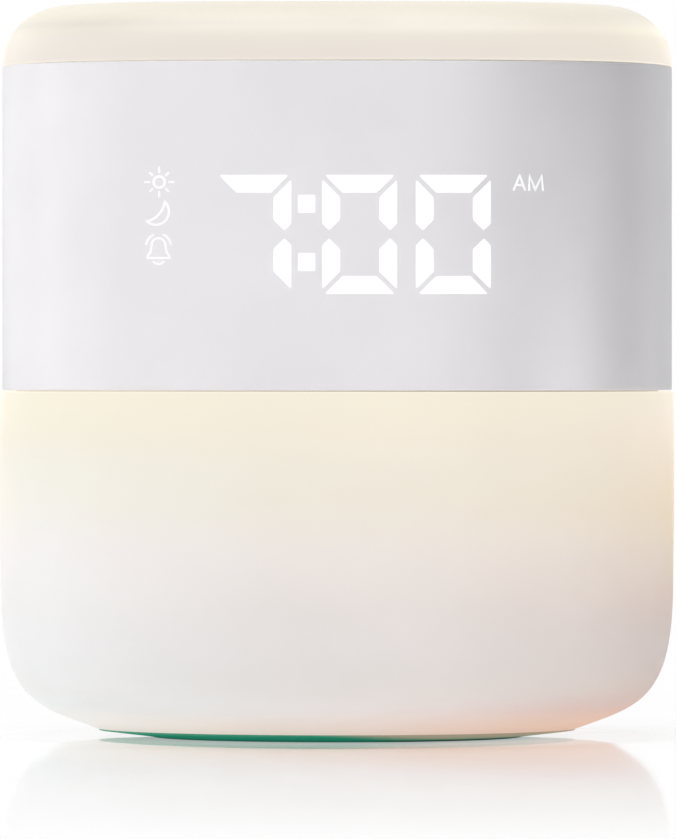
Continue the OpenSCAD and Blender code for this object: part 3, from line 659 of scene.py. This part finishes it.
# %% [markdown]
# ## The lower diffuser
#
# The body's side is one clean curve: almost upright, a hair wider at its waist, and then turning in to the
# round base with a soft shoulder. The CAD solid has it in facets, so here the same curve is drawn again
# with a point every degree. The rim at the seam has a radius of a third of a millimetre, which gives the
# seam its fine light line. The wall's inner face and the lip that the band sits on are part of the same
# shell.

# %% Side curve of the lower diffuser
BASE_Z, SHOULDER_Z, SIDE_STEPS = 1.42, 27, 32
SLOPE, PULL = math.radians(20), 12    # the slope at which the side meets the base, and how far it is kept
SIDE = [Vector(p) for p in (
    (BODY_A, SHOULDER_Z), (BODY_A, 7),
    (BASE_A + PULL * math.cos(SLOPE), BASE_Z + PULL * math.sin(SLOPE)), (BASE_A, BASE_Z))]


def side_point(t):
    """Point on the cubic curve, and the direction in which it runs on."""
    a, b, c, d = SIDE
    at = a * (1 - t) ** 3 + b * 3 * t * (1 - t) ** 2 + c * 3 * t * t * (1 - t) + d * t ** 3
    way = (b - a) * (1 - t) ** 2 + (c - b) * 2 * t * (1 - t) + (d - c) * t * t
    return at, way.normalized()


middle, _ = side_point(0.5)
print("halfway down the curve, the side stands", round(middle.x, 1), "mm from the axis")

# %% Shell of the lower diffuser
WALL, RIM_RADIUS = 2.2, 0.35
WAIST_Z, LOWER_SEAM_Z = 45.8, 59.2
LIP_A, LIP_WALL, LOWER_LIP_Z = 54.8, 1.6, 62.3
outside, inside = [], []
for k in range(SIDE_STEPS + 1):
    at, way = side_point(1 - k / SIDE_STEPS)
    power = plan_power(at.x)
    outside.append((at.x, at.y, power, 0))
    within = at + WALL * Vector((way.y, -way.x))
    inside.insert(0, (within.x, within.y, power, 0))
outside[0] = outside[0][:3] + (0.25,)
for height in (31, 35, 39, 43, WAIST_Z, 48, 52, 56):
    reach = WAIST_Z - SHOULDER_Z if height < WAIST_Z else LOWER_SEAM_Z - WAIST_Z
    swell = WAIST_A - (WAIST_A - BODY_A) * ((height - WAIST_Z) / reach) ** 2
    outside.append((swell, height, PLAN_POWER, 0))
lip = [(BODY_A, LOWER_SEAM_Z, RIM_RADIUS), (LIP_A, LOWER_SEAM_Z, 0.1), (LIP_A, LOWER_LIP_Z, 0.3),
       (LIP_A - LIP_WALL, LOWER_LIP_Z, 0.3), (LIP_A - LIP_WALL, 57.7, 0), (55.2, 55.7, 0), (55.3, WAIST_Z, 0)]
lip = [(a, z, PLAN_POWER, r) for a, z, r in lip]
body_rows = soften(outside + lip + inside)
lower = bare_mesh("lower_diffuser_shell", *skin(turned(body_rows)))
fit(lower, "housing", "opal", "opal_body", "lower_diffuser")
print("lower_diffuser_shell:", len(lower.data.polygons), "faces")

# %% [markdown]
# ## The cap
#
# The cap's rounded edge is ten millimetres high, and then the top runs almost flat to the button's hole,
# rising less than half a millimetre. The plan has to change from squircle to circle on the way in, so the
# power falls with the half width, as it does in the body.

# %% Rings of the cap
UPPER_SEAM_Z, UPPER_LIP_Z, TOP_Z = 114.6, 111.5, 125
EDGE_A, CROWN_A = 46.8, 22    # half widths where the rounded edge ends and where the crown is level
HOLE_A, HOLE_Z = 16.35, 122.8
arc = [math.radians(a) for a in range(4, 91, 4)] + [math.radians(90)]
over = [(EDGE_A + 10.4 * math.cos(t), UPPER_SEAM_Z + 10 * math.sin(t), PLAN_POWER, 0) for t in arc]
crown = []
for a in (44, 41, 38, 35, 32, 29, 26, 24, 22, 19):
    rise = TOP_Z - 0.4 * max(0, (a - CROWN_A) / (EDGE_A - CROWN_A)) ** 2
    crown.append((a, rise, plan_power(a, CROWN_A, EDGE_A), 0))
hole = [(HOLE_A, TOP_Z, 2, 0.4), (HOLE_A, HOLE_Z, 2, 0.1), (CROWN_A, HOLE_Z, 2, 0), (32, 122.68, 2.7, 0)]
under = [(EDGE_A + 8.2 * math.cos(t), UPPER_SEAM_Z + 7.8 * math.sin(t), PLAN_POWER, 0) for t in arc[::-3]]
cap_lip = [(LIP_A - LIP_WALL, 115.2, 0), (LIP_A - LIP_WALL, UPPER_LIP_Z, 0.3), (LIP_A, UPPER_LIP_Z, 0.3),
           (LIP_A, UPPER_SEAM_Z, 0.1), (EDGE_A + 10.4, UPPER_SEAM_Z, RIM_RADIUS)]
cap_lip = [(a, z, PLAN_POWER, r) for a, z, r in cap_lip]
cap = bare_mesh("top_diffuser_shell", *skin(turned(soften(over + crown + hole + under + cap_lip))))
fit(cap, "housing", "opal", "opal_cap", "top_diffuser")
print("top_diffuser_shell:", len(cap.data.polygons), "faces")

# %% [markdown]
# ## The band and its openings
#
# The band is a straight squircle tube. At the back it has a recess for the keys, sound slots, and a hole
# for the power inlet. Each opening has a rounded edge that follows the curved wall, so its cutter is a
# stack of outlines that shrink as they sink below the wall. Blender's exact boolean takes the cutters away.
# A cut leaves large faces beside small ones, which shade badly, so the outside gets the normals of the true
# curve afterwards.

# %% The tube
BAND_A, BAND_IN = 57.15, 54.95
BAND_LOW, BAND_HIGH = 59.4, 114.4


def wall_y(x, half_width=BAND_A):
    """How far out the band's wall stands at x, in mm."""
    return half_width * (1 - abs(x / half_width) ** PLAN_POWER) ** (1 / PLAN_POWER)


tube = [(BAND_A, BAND_LOW, 0.3), (BAND_A, 75, 0), (BAND_A, 95, 0), (BAND_A, BAND_HIGH, 0.3),
        (BAND_IN, BAND_HIGH, 0.15), (BAND_IN, BAND_LOW, 0.15)]
band = bare_mesh("display_band_shell", *skin(turned(soften([(a, z, PLAN_POWER, r) for a, z, r in tube]))))
print("plain tube:", len(band.data.polygons), "faces")

# %% Cutters that follow the wall
def rounded_rectangle(width, height, radius, x=0.0, z=0.0, per_corner=10):
    """An outline that grows evenly with its argument."""
    def outline(grow):
        points = []
        for quarter, (sx, sz) in enumerate(((1, 1), (-1, 1), (-1, -1), (1, -1))):
            for k in range(per_corner + 1):
                t = math.radians(90 * quarter + 90 * k / per_corner)
                points.append((x + sx * (width / 2 - radius) + (radius + grow) * math.cos(t),
                               z + sz * (height / 2 - radius) + (radius + grow) * math.sin(t)))
        return points
    return outline


def cutter(outline, edge, floor, floor_edge=0.0, wall=wall_y):
    """A stack of outlines from outside the wall down to the floor, with a rounded edge at the wall."""
    levels = [(edge, lambda x: wall(x) + 1.5)]
    for k in range(6):
        t = math.radians(18 * k)
        levels.append((edge * (1 - math.sin(t)), lambda x, t=t: wall(x) + 0.003 - edge * (1 - math.cos(t))))
    for k in range(5 if floor_edge else 1):
        t = math.radians(22.5 * k)
        sunk = floor + floor_edge * (1 - math.sin(t))
        levels.append((-floor_edge * (1 - math.cos(t)), lambda x, sunk=sunk: sunk))
    return skin([[(x, y_at(x), z) for x, z in outline(grow)] for grow, y_at in levels], ends=True)


def joined(solids):
    points, faces = [], []
    for more, sides in solids:
        faces += [tuple(i + len(points) for i in side) for side in sides]
        points += more
    return points, faces


def boolean(obj, tool, operation):
    change = obj.modifiers.new("change", "BOOLEAN")
    change.operation, change.solver, change.object = operation, "EXACT", tool
    bpy.context.view_layer.update()
    result = bpy.data.meshes.new_from_object(obj.evaluated_get(bpy.context.evaluated_depsgraph_get()))
    obj.modifiers.clear()
    obj.data = result
    bpy.data.objects.remove(tool)


POCKET_Z, POCKET_Y = 95.4, 54.8
pad_outline = rounded_rectangle(46.6, 28, 6, z=POCKET_Z)(0)
pad = skin([[(x, y, z) for x, z in pad_outline] for y in (52.8, 55.45)], ends=True)
boolean(band, bare_mesh("pad", *pad), "UNION")
recess = cutter(rounded_rectangle(43, 24.4, 6, z=POCKET_Z), 0.5, POCKET_Y, 0.4)
boolean(band, bare_mesh("recess", *recess), "DIFFERENCE")
print("band with its recess:", len(band.data.polygons), "faces")

# %% Key holes, sound slots and the inlet's hole
KEY_PITCH, KEY_ROWS = 14.5, {101.4: ("clock", "alarm", "up"), 89.4: ("down", "light", "sound")}
KEY_AT = {name: ((k - 1) * KEY_PITCH, z) for z, names in KEY_ROWS.items() for k, name in enumerate(names)}
JACK_AT, SPEAKER_AT = (17.0, 71.5), (-15.0, 72.8)
SPEAKER_R, SLOT_PITCH, SLOT_H = 6.6, 2.4, 1.2
holes = [cutter(rounded_rectangle(9.3, 9.3, 4.65, x, z), 0.2, 50.5, wall=lambda x: POCKET_Y)
         for x, z in KEY_AT.values()]
holes.append(cutter(rounded_rectangle(8.3, 8.3, 4.15, *JACK_AT), 0.35, 50.0))
for k in range(-2, 3):
    length = 2 * math.sqrt(SPEAKER_R ** 2 - (SLOT_PITCH * k) ** 2)
    slot = rounded_rectangle(length, SLOT_H, SLOT_H / 2 - 0.0001, SPEAKER_AT[0],
                             SPEAKER_AT[1] + SLOT_PITCH * k)
    holes.append(cutter(slot, 0.2, 50.0))
boolean(band, bare_mesh("holes", *joined(holes)), "DIFFERENCE")
print("band with all its holes:", len(band.data.polygons), "faces")

# %% True normals for the band's outside
fit(band, "housing", "satin_white", "satin_white", "display_band")
mesh = band.data
corner = np.zeros(len(mesh.loops) * 3, np.float32)
mesh.corner_normals.foreach_get("vector", corner)
corner = corner.reshape(-1, 3)
vertex = np.zeros(len(mesh.vertices) * 3, np.float32)
mesh.vertices.foreach_get("co", vertex)
vertex = vertex.reshape(-1, 3)
of_corner = np.zeros(len(mesh.loops), np.int32)
mesh.loops.foreach_get("vertex_index", of_corner)
spots = vertex[of_corner][:, :2] / (BAND_A * MM)
true = np.zeros_like(corner)
true[:, :2] = np.sign(spots) * np.abs(spots) ** (PLAN_POWER - 1)
true /= np.maximum(np.linalg.norm(true, axis=1, keepdims=True), 1e-9)
on_curve = np.abs((np.abs(spots) ** PLAN_POWER).sum(axis=1) - 1) < 0.004
swap = on_curve & ((true * corner).sum(axis=1) > 0.9)
corner[swap] = true[swap]
mesh.normals_split_custom_set(corner.tolist())
print("true normals on", int(swap.sum()), "of", len(corner), "corners")

# %% [markdown]
# ## What the display shows
#
# The digits shine through a thin stretch of the band's wall. They have no frame and no edge of their own:
# where a light pipe is lit, the wall turns white. Each lit shape is a thin inlay in the wall's surface, cut
# into narrow slices so that it follows the curve. It stands out by two hundredths of a millimetre, less
# than paper. Strokes that are not filled shapes, such as the sun's ring, are ribbons along a line.

# %% Shapes and ribbons
def ribbon(line, width, closed=False):
    """Quads along a line, with round ends if it is open."""
    points = [Vector(p) for p in line]
    count = len(points)
    sides = []
    for i, p in enumerate(points):
        back = (p - points[i - 1]).normalized() if closed or i else None
        ahead = (points[(i + 1) % count] - p).normalized() if closed or i < count - 1 else None
        back, ahead = back or ahead, ahead or back
        way = (back + ahead).normalized()
        reach = width / 2 / max(way.dot(back), 0.45)
        out = Vector((-way.y, way.x)) * reach
        sides.append((tuple(p + out), tuple(p - out), way))
    pairs = list(zip(sides, sides[1:] + sides[:1] if closed else sides[1:]))
    shapes = [[a[0], a[1], b[1], b[0]] for a, b in pairs]
    for end, sign in () if closed else ((0, -1), (-1, 1)):
        left, right, way = Vector(sides[end][0]), Vector(sides[end][1]), sides[end][2] * sign
        middle, half = (left + right) / 2, (left - right) / 2
        round_end = [middle + half * math.cos(math.radians(a)) + way * half.length * math.sin(math.radians(a))
                     for a in range(0, 181, 36)]
        shapes.append([tuple(p) for p in round_end])
    return shapes


def arc_line(centre, radius, start, end, steps=24):
    turns = [math.radians(start + (end - start) * k / steps) for k in range(steps + 1)]
    return [(centre[0] + radius * math.cos(t), centre[1] + radius * math.sin(t)) for t in turns]


def inlay(name, shapes, surface, side=-1, proud=0.02, deep=0.25, slice_mm=0.8):
    """A thin plate for flat shapes in X and Z, bent onto the surface y = surface(x, z)."""
    work = bmesh.new()
    for shape in shapes:
        work.faces.new([work.verts.new((x, 0, z)) for x, z in shape])
    bmesh.ops.remove_doubles(work, verts=work.verts, dist=0.002)
    for axis in (0, 2):
        spread = [v.co[axis] for v in work.verts]
        for place_mm in np.arange(min(spread) + slice_mm, max(spread), slice_mm):
            at, across = Vector(), Vector()
            at[axis], across[axis] = place_mm, 1
            everything = work.verts[:] + work.edges[:] + work.faces[:]
            bmesh.ops.bisect_plane(work, geom=everything, plane_co=at, plane_no=across, dist=0.0005)
    bmesh.ops.solidify(work, geom=work.faces[:], thickness=deep)
    for v in work.verts:
        sunk = abs(v.co.y)
        v.co.y = surface(v.co.x, v.co.z) + side * (proud - sunk)
    bmesh.ops.recalc_face_normals(work, faces=work.faces)
    bmesh.ops.scale(work, vec=(MM, MM, MM), verts=work.verts)
    mesh = bpy.data.meshes.new(name)
    work.to_mesh(mesh)
    work.free()
    obj = bpy.data.objects.new(name, mesh)
    bpy.context.scene.collection.objects.link(obj)
    return obj


def front(x, z):
    return -wall_y(x)


print("a ring of ribbon has", len(ribbon(arc_line((0, 0), 1, 0, 345, 23), 0.3, closed=True)), "quads")

# %% Lit digits and colon
DIGIT_W, DIGIT_H, STROKE, DIGIT_Z = 12.5, 19.84, 3.0, 75.5
MID, GAP, TIP, BAR_CUT, UP_CUT = DIGIT_H / 2, 0.65, 1.17, 0.4, 0.76
SEVEN_X, ZEROS_X = -20.1, (-2.48, 13.13)
COLON_X, COLON_Z = -5.06, (90.5, 80.8)
DOT_CORNERS = ((-1.44, -1.5), (1.44, -1.5), (1.44, 1.5), (-1.44, 1.5))
bar = [(BAR_CUT, DIGIT_H), (DIGIT_W - BAR_CUT, DIGIT_H), (DIGIT_W - BAR_CUT - STROKE, DIGIT_H - STROKE),
       (BAR_CUT + STROKE, DIGIT_H - STROKE)]
upright = [(DIGIT_W, DIGIT_H - UP_CUT), (DIGIT_W, MID + GAP + TIP), (DIGIT_W - TIP, MID + GAP),
           (DIGIT_W - STROKE, MID + GAP + STROKE - TIP), (DIGIT_W - STROKE, DIGIT_H - UP_CUT - STROKE)]


def segment(shape, x0, flip_x=False, flip_z=False):
    corners = [(DIGIT_W - x if flip_x else x, DIGIT_H - z if flip_z else z, 2, 0.22) for x, z in shape]
    return [(x0 + x, DIGIT_Z + z) for x, z, _ in soften(corners, 4)]


shapes = [segment(bar, SEVEN_X), segment(upright, SEVEN_X), segment(upright, SEVEN_X, flip_z=True)]
for x0 in ZEROS_X:
    shapes += [segment(bar, x0), segment(bar, x0, flip_z=True)]
    shapes += [segment(upright, x0, fx, fz) for fx in (False, True) for fz in (False, True)]
fit(inlay("lit_digits", shapes, front), "housing", "lit_white", "lit_white")
dots = []
for z0 in COLON_Z:
    corners = [(COLON_X + x, z0 + z, 2, 0.2) for x, z in DOT_CORNERS]
    dots.append([(x, z) for x, z, _ in soften(corners, 4)])
fit(inlay("lit_colon", dots, front), "housing", "lit_white", "lit_white")
print("lit_digits:", len(shapes), "segments, and a colon of", len(dots), "dots")

# %% Signs as strokes
def moved(shapes, x, z, size=1.0, mirror=1):
    return [[(x + mirror * size * u, z + size * v) for u, v in shape] for shape in shapes]


def tilted(shapes, degrees):
    c, s = math.cos(math.radians(degrees)), math.sin(math.radians(degrees))
    return [[(u * c - v * s, u * s + v * c) for u, v in shape] for shape in shapes]


def bell(width=0.32):
    """A bell with its clapper and a stroke of sound on each side."""
    dome = [(-1.88, 0.35), (-1.42, 0.95), (-1.24, 1.7), (-1.2, 2.3)]
    dome += arc_line((0, 2.25), 1.16, 180, 0, 12) + [(1.2, 2.3), (1.24, 1.7), (1.42, 0.95), (1.88, 0.35)]
    clapper = arc_line((0, 0.1), 1.15, 220, 320, 10)
    right, left = arc_line((0, 2.0), 2.15, 66, 10, 10), arc_line((0, 2.0), 2.15, 114, 170, 10)
    lines = [dome, [(-1.95, 0), (1.95, 0)], clapper, right, left]
    return [shape for line in lines for shape in ribbon(line, width)]


print("a bell is made of", len(bell()), "small shapes")

# %% Sun, moon, bell and morning mark
RAYS, RAY_START, LONG_RAY, SHORT_RAY = 8, 1.62, 2.42, 2.15
sun = ribbon(arc_line((0, 0), 0.94, 0, 345, 23), 0.38, closed=True)
for k in range(RAYS):
    angle = 2 * math.pi * k / RAYS
    way = Vector((math.cos(angle), math.sin(angle)))
    sun += ribbon([tuple(way * RAY_START), tuple(way * (SHORT_RAY if k % 2 else LONG_RAY))], 0.33)
crescent = arc_line((0, 0), 2.2, -90, 90, 24) + arc_line((-3.08, 0), 3.78, 35.6, -35.6, 20)[1:-1]
moon = tilted(ribbon(crescent, 0.33, closed=True), -42.6)
signs = moved(sun, -29.63, 94.17) + moved(moon, -30.2, 89.25) + moved(bell(), -29.75, 81.52, 0.97)
symbols = fit(inlay("lit_symbols", signs, front), "housing", "lit_white", "lit_white")
morning = ribbon([(29.45, 92.85), (30.47, 95.25), (31.35, 92.85)], 0.36)
morning += ribbon([(29.85, 93.7), (30.98, 93.7)], 0.32)
morning += ribbon([(32.03, 92.85), (32.13, 95.2), (33.07, 92.95), (34.16, 95.2), (34.36, 92.8)], 0.36)
mark = fit(inlay("lit_day_half", morning, front), "housing", "lit_white", "lit_white")
print("lit_symbols:", len(symbols.data.polygons), "faces, lit_day_half:", len(mark.data.polygons))

# %% [markdown]
# ## Rear keys
#
# Six keys with dished faces stand in the recess. Each is turned from one profile, with a soft shoulder
# where the finger meets it, and carries a printed sign: clock, bell, up, down, lamp and sound. A key rides
# on its own body, and so does its print. Seen from behind, +X is on the left, so the signs are mirrored.

# %% Key caps
KEY_R, KEY_FRONT = 4.5, 56.0


def dish(x, z):
    """Face of a key at a place measured from its middle."""
    reach = min(math.hypot(x, z) / (KEY_R - 0.6), 1)
    return KEY_FRONT - 0.22 * (1 - reach * reach)


profile = [(0, 51.7, 0), (5.4, 51.7, 0.2), (5.4, 52.7, 0.2), (KEY_R, 52.7, 0.05), (KEY_R, KEY_FRONT, 0.45)]
profile = [(a, y, 2, r) for a, y, r in profile]
profile += [(a, dish(a, 0), 2, 0) for a in (3.9, 3.4, 2.8, 2.1, 1.4, 0.7, 0)]
for name, (x, z) in KEY_AT.items():
    rings = [[(x + p[0], p[2], z - p[1]) for p in ring] for ring in turned(soften(profile), 96)]
    obj = bare_mesh(f"key_{name}_cap", *skin(rings[1:-1], ends=True))
    fit(obj, f"{name}_key", "key_plastic", "key_plastic", f"key_{name}")
print("6 key caps of", len(obj.data.polygons), "faces")

# %% Printed signs
clock_sign = ribbon(arc_line((0, 0), 1.9, 0, 348, 29), 0.3, closed=True)
clock_sign += ribbon([(0, 1.25), (0, 0), (0.85, 0.5)], 0.28)
up_sign = [[(-1.7, -1.0), (1.7, -1.0), (0, 1.5)]]
down_sign = [[(u, -v) for u, v in up_sign[0]]]
lamp_sign = ribbon(arc_line((0, 0.5), 1.35, -50, 230, 22), 0.28)
lamp_sign += ribbon([(-0.75, -1.15), (0.75, -1.15)], 0.26) + ribbon([(-0.55, -1.7), (0.55, -1.7)], 0.26)
sound_sign = [[(-1.9, -0.6), (-1.1, -0.6), (-0.1, -1.5), (-0.1, 1.5), (-1.1, 0.6), (-1.9, 0.6)]]
sound_sign += ribbon(arc_line((-0.3, 0), 1.2, -45, 45, 10), 0.26)
sound_sign += ribbon(arc_line((-0.3, 0), 2.0, -45, 45, 12), 0.26)
sign_of = {"clock": clock_sign, "alarm": moved(bell(0.26), 0, -1.7, 0.95), "up": up_sign, "down": down_sign,
           "light": lamp_sign, "sound": sound_sign}
for name, (x, z) in KEY_AT.items():
    face = lambda u, v, x=x, z=z: dish(u - x, v - z)
    sign = moved(sign_of[name], x, z, mirror=-1)
    obj = inlay(f"key_{name}_print", sign, face, side=1, proud=0.012, deep=0.1)
    fit(obj, f"{name}_key", "key_plastic", "key_print")
print("printed:", ", ".join(sign_of))

# %% [markdown]
# ## Top button
#
# The button is a shallow dish, so that a hand finds its middle in the dark. The CAD profile is the same,
# with facets. Here the edge gets a true radius and the dish a smooth fall, because a broad soft surface
# shows every break in its shading.

# %% Button disc
BUTTON_LOW, BUTTON_TOP, BUTTON_R, DISH = 118.4, 124.9, 16, 0.6
profile = [(0, BUTTON_LOW, 0), (3.1, BUTTON_LOW, 0.2), (3.1, 122.5, 0), (14.4, 122.5, 0), (14.4, 121.5, 0),
           (BUTTON_R, 121.5, 0.1), (BUTTON_R, BUTTON_TOP, 0.7)]
profile = [(a, z, 2, r) for a, z, r in profile]
for a in (14.6, 14, 13, 11.5, 10, 8, 6, 4, 2, 0):
    profile.append((a, BUTTON_TOP - DISH * (1 - (a / 15) ** 2) ** 1.3, 2, 0))
rows = soften(profile)
button = bare_mesh("top_button_disc", *skin(turned(rows[1:-1], 180), ends=True))
fit(button, "button", "satin_white", "button_satin_painted_shade", "top_button")
print("top_button_disc:", len(button.data.polygons), "faces")

# %% [markdown]
# ## Silicone under the button
#
# The button comes up again on a ring of silicone, which collapses when a finger pushes. It stays on its
# body, and here it gets a mesh of its own.

# %% Silicone ring with a mesh of its own
dome = frame["nodes"]["return_dome"]
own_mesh(dome)

# %% [markdown]
# ## Foot ring
#
# A ring of soft rubber keeps the clock from sliding. It lies in a groove of the base, touches the table
# with a rounded tread, and is what makes the thin dark line under the teal plate.

# %% Rubber ring
RING_IN, RING_OUT, RING_H, TREAD_RADIUS = 27.5, 31.7, 1.3, 0.35
section = [(RING_IN, RING_H, 2, 0), (RING_IN, 0.0, 2, TREAD_RADIUS), (RING_OUT, 0.0, 2, TREAD_RADIUS),
           (RING_OUT, RING_H, 2, 0)]
ring = bare_mesh("foot_ring_tread", *skin(turned(soften(section), 240)))
fit(ring, "housing", "foot_rubber", "tread_rubber_painted_light", "foot_ring")
print("foot_ring_tread:", len(ring.data.polygons), "faces")

# %% [markdown]
# ## Table
#
# The clock stands on a bright glossy table. Far from the clock it is simply white. Near it, the table
# mirrors the clock. The camera sees white light from the floor, mixed with a little real shading so that
# the shadow stays, and with a mirror whose share falls with the distance from the clock. That share is also
# smaller to the right of the clock and behind it, and where the table is seen from above. In front of the
# clock the mirror is tipped by a hair, because the photographed reflection sits a little higher than a
# level mirror would show it. Seen from below, the table is clear, so that the underside of the clock can be
# looked at. All other rays see a plain white table, which throws light back up as a real one does.

# %% Table top
TABLE_HALF = 9
floor_mesh = bpy.data.meshes.new("table")
corners = [(x * TABLE_HALF, y * TABLE_HALF, 0) for x, y in ((-1, -1), (1, -1), (1, 1), (-1, 1))]
floor_mesh.from_pydata(corners, [], [(0, 1, 2, 3)])
table = bpy.data.objects.new("table", floor_mesh)
bpy.context.scene.collection.objects.link(table)
print("table is", 2 * TABLE_HALF, "m wide")

# %% Shares of the mirror and of real shading
material = bpy.data.materials.new("white_table")
material.use_nodes = True
tree = material.node_tree
tree.nodes.clear()
where = own_xyz(tree)
away = put(tree, "VectorMath", {0: own_place(tree)}, operation="LENGTH").outputs["Value"]


def fade(stops):
    """A value that changes with the distance from the clock. Each stop is a distance in mm and a value."""
    reach = stops[-1][0]
    node = put(tree, "FloatCurve", {"Value": calc(tree, "DIVIDE", away, reach * MM, clamp=True)})
    curve = node.mapping.curves[0]
    for distance, value in stops[1:-1]:
        curve.points.new(distance / reach, value)
    curve.points[0].location = (0, stops[0][1])
    curve.points[-1].location = (1, stops[-1][1])
    node.mapping.update()
    return node.outputs[0]


mirror_share = fade([
    (0, 0.5), (37, 0.5), (50, 0.6), (57, 0.64), (64, 0.92), (70, 0.93), (80, 0.85), (97, 0.85), (144, 0.77),
    (189, 0.65), (248, 0.48), (308, 0.35), (345, 0.26), (381, 0.17), (415, 0.08), (460, 0),
])
on_the_right = between(tree, where["X"], 15 * MM, 50 * MM, 1.0, 0.72)
behind = between(tree, where["Y"], 0.0, 60 * MM, 1.0, 0.25)
from_above = between(tree, put(tree, "LayerWeight", {"Blend": 0.5}).outputs["Facing"], 0.55, 0.95, 0.06, 1.0)
for factor in (on_the_right, behind, from_above):
    mirror_share = calc(tree, "MULTIPLY", mirror_share, factor, clamp=True)
shade_share = fade([(0, 0.3), (57, 0.2), (97, 0.12), (200, 0.1), (300, 0.04), (500, 0.0), (700, 0)])
print("the table's shares need", len(tree.nodes), "nodes")

# %% White glossy finish
# The mirror's tilt is DIP over the distance ahead of the clock's axis, which counts as at least DIP_FROM
DIP, DIP_FROM = 1.03 * MM, 36 * MM


def mix(share, first, second):
    return put(tree, "MixShader", {0: share, 1: first, 2: second}).outputs[0]


ahead = calc(tree, "MULTIPLY", where["Y"], -1.0)
dip = calc(tree, "DIVIDE", DIP, calc(tree, "MAXIMUM", ahead, DIP_FROM))
begun = between(tree, ahead, 0.0, 20 * MM)
slope = calc(tree, "MULTIPLY", dip, calc(tree, "MULTIPLY", begun, -1.0))
tipped = put(tree, "CombineXYZ", {"Y": slope, "Z": 1.0}).outputs[0]
tipped = put(tree, "VectorMath", {0: tipped}, operation="NORMALIZE").outputs[0]
mirror = put(tree, "BsdfGlossy", {"Color": (1, 1, 1, 1), "Roughness": 0.05, "Normal": tipped}).outputs[0]
shaded = put(tree, "BsdfDiffuse", {"Color": (0.83, 0.83, 0.83, 1)}).outputs[0]
white = put(tree, "Emission", {"Color": (1, 1, 1, 1), "Strength": 1.0}).outputs[0]
plain = put(tree, "BsdfDiffuse", {"Color": (0.9, 0.9, 0.9, 1)}).outputs[0]
clear = put(tree, "BsdfTransparent").outputs[0]
seen = mix(mirror_share, mix(shade_share, white, shaded), mirror)
seen = mix(put(tree, "NewGeometry").outputs["Backfacing"], seen, clear)
look = mix(put(tree, "LightPath").outputs["Is Camera Ray"], plain, seen)
tree.links.new(look, put(tree, "OutputMaterial").inputs["Surface"])
floor_mesh.materials.append(material)
print("white_table:", len(tree.nodes), "nodes")

# %% [markdown]
# ## Light
#
# The photograph is a studio picture: a white wall stands behind the clock, and large soft panels light it
# from the front left, the left and above. The right side gets no panel. It is little more than half as
# bright, and brightest beside the seam, so a small white card is held there and throws light back. The
# satin band has pearl in its paint and mirrors the panels softly, which makes its brightness fall so
# quickly to the right of the digits. The wall is brighter than the rest of the room, and brightest straight
# behind the clock, where the table mirrors it. The camera sees white everywhere.

# %% Panels
def panel(name, azimuth, elevation, distance, size, watts, aim=(0, 0, 0.06)):
    """Azimuth 0 is in front of the clock, and grows to its right."""
    lamp = bpy.data.lights.new(name, "AREA")
    lamp.shape, lamp.size, lamp.energy = "SQUARE", size, watts
    a, e = math.radians(azimuth), math.radians(elevation)
    way = Vector((math.sin(a) * math.cos(e), -math.cos(a) * math.cos(e), math.sin(e)))
    obj = bpy.data.objects.new(name, lamp)
    obj.location = Vector(aim) + way * distance
    obj.rotation_euler = way.to_track_quat("Z", "Y").to_euler()
    obj.visible_camera = False
    bpy.context.scene.collection.objects.link(obj)


panel("front_panel", -12, 10, 1.0, 1.2, 3.7)
panel("left_panel", -80, 10, 1.0, 1.2, 3.8)
panel("back_left_panel", -125, 10, 1.0, 1.2, 1.9)
panel("top_panel", -20, 80, 1.3, 1.0, 18.0)
panel("right_card", 47, 0, 0.103, 0.06, 0.0074, aim=(0.034, -0.026, 0.048))

# %% White wall behind, dim room in front
WALL_LIGHT, MIDDLE_LIGHT = 0.82, 0.18    # shares of the white that the camera sees
world = bpy.data.worlds.new("white_room")
bpy.context.scene.world = world
world.use_nodes = True
tree = world.node_tree
backward = put(tree, "SeparateXYZ", {0: put(tree, "TexCoord").outputs["Generated"]}).outputs["Y"]
wall = between(tree, backward, 0.35, 0.65, 0.0, WALL_LIGHT)
wall = calc(tree, "ADD", wall, between(tree, backward, 0.97, 0.99, 0.0, MIDDLE_LIGHT))
by_camera = put(tree, "LightPath").outputs["Is Camera Ray"]
background = tree.nodes["Background"].inputs
tree.links.new(calc(tree, "MAXIMUM", by_camera, wall), background["Strength"])
background["Color"].default_value = (1, 1, 1, 1)
bpy.context.scene.view_settings.view_transform = "Standard"
print("the wall gives", WALL_LIGHT, "of the white that the camera sees")

# %% [markdown]
# ## Camera
#
# The picture was taken from two metres away with a long lens, a little above the seam under the band. The
# body's lower rim shows as a shallow arc, and the band's upper edge bends up a little, which fixes the
# height.

# %% Camera
EYE_HEIGHT, LOOK_DOWN = 0.0641, 0.28
camera = bpy.data.objects.new("camera", bpy.data.cameras.new("camera"))
camera.data.lens, camera.data.sensor_width = 500.7, 36
camera.location = (0.00017, -2.0, EYE_HEIGHT)
camera.rotation_euler = (math.radians(90 - LOOK_DOWN), 0, 0)
bpy.context.scene.collection.objects.link(camera)
bpy.context.scene.camera = camera
print("camera looks", LOOK_DOWN, "degrees down from", EYE_HEIGHT, "m")
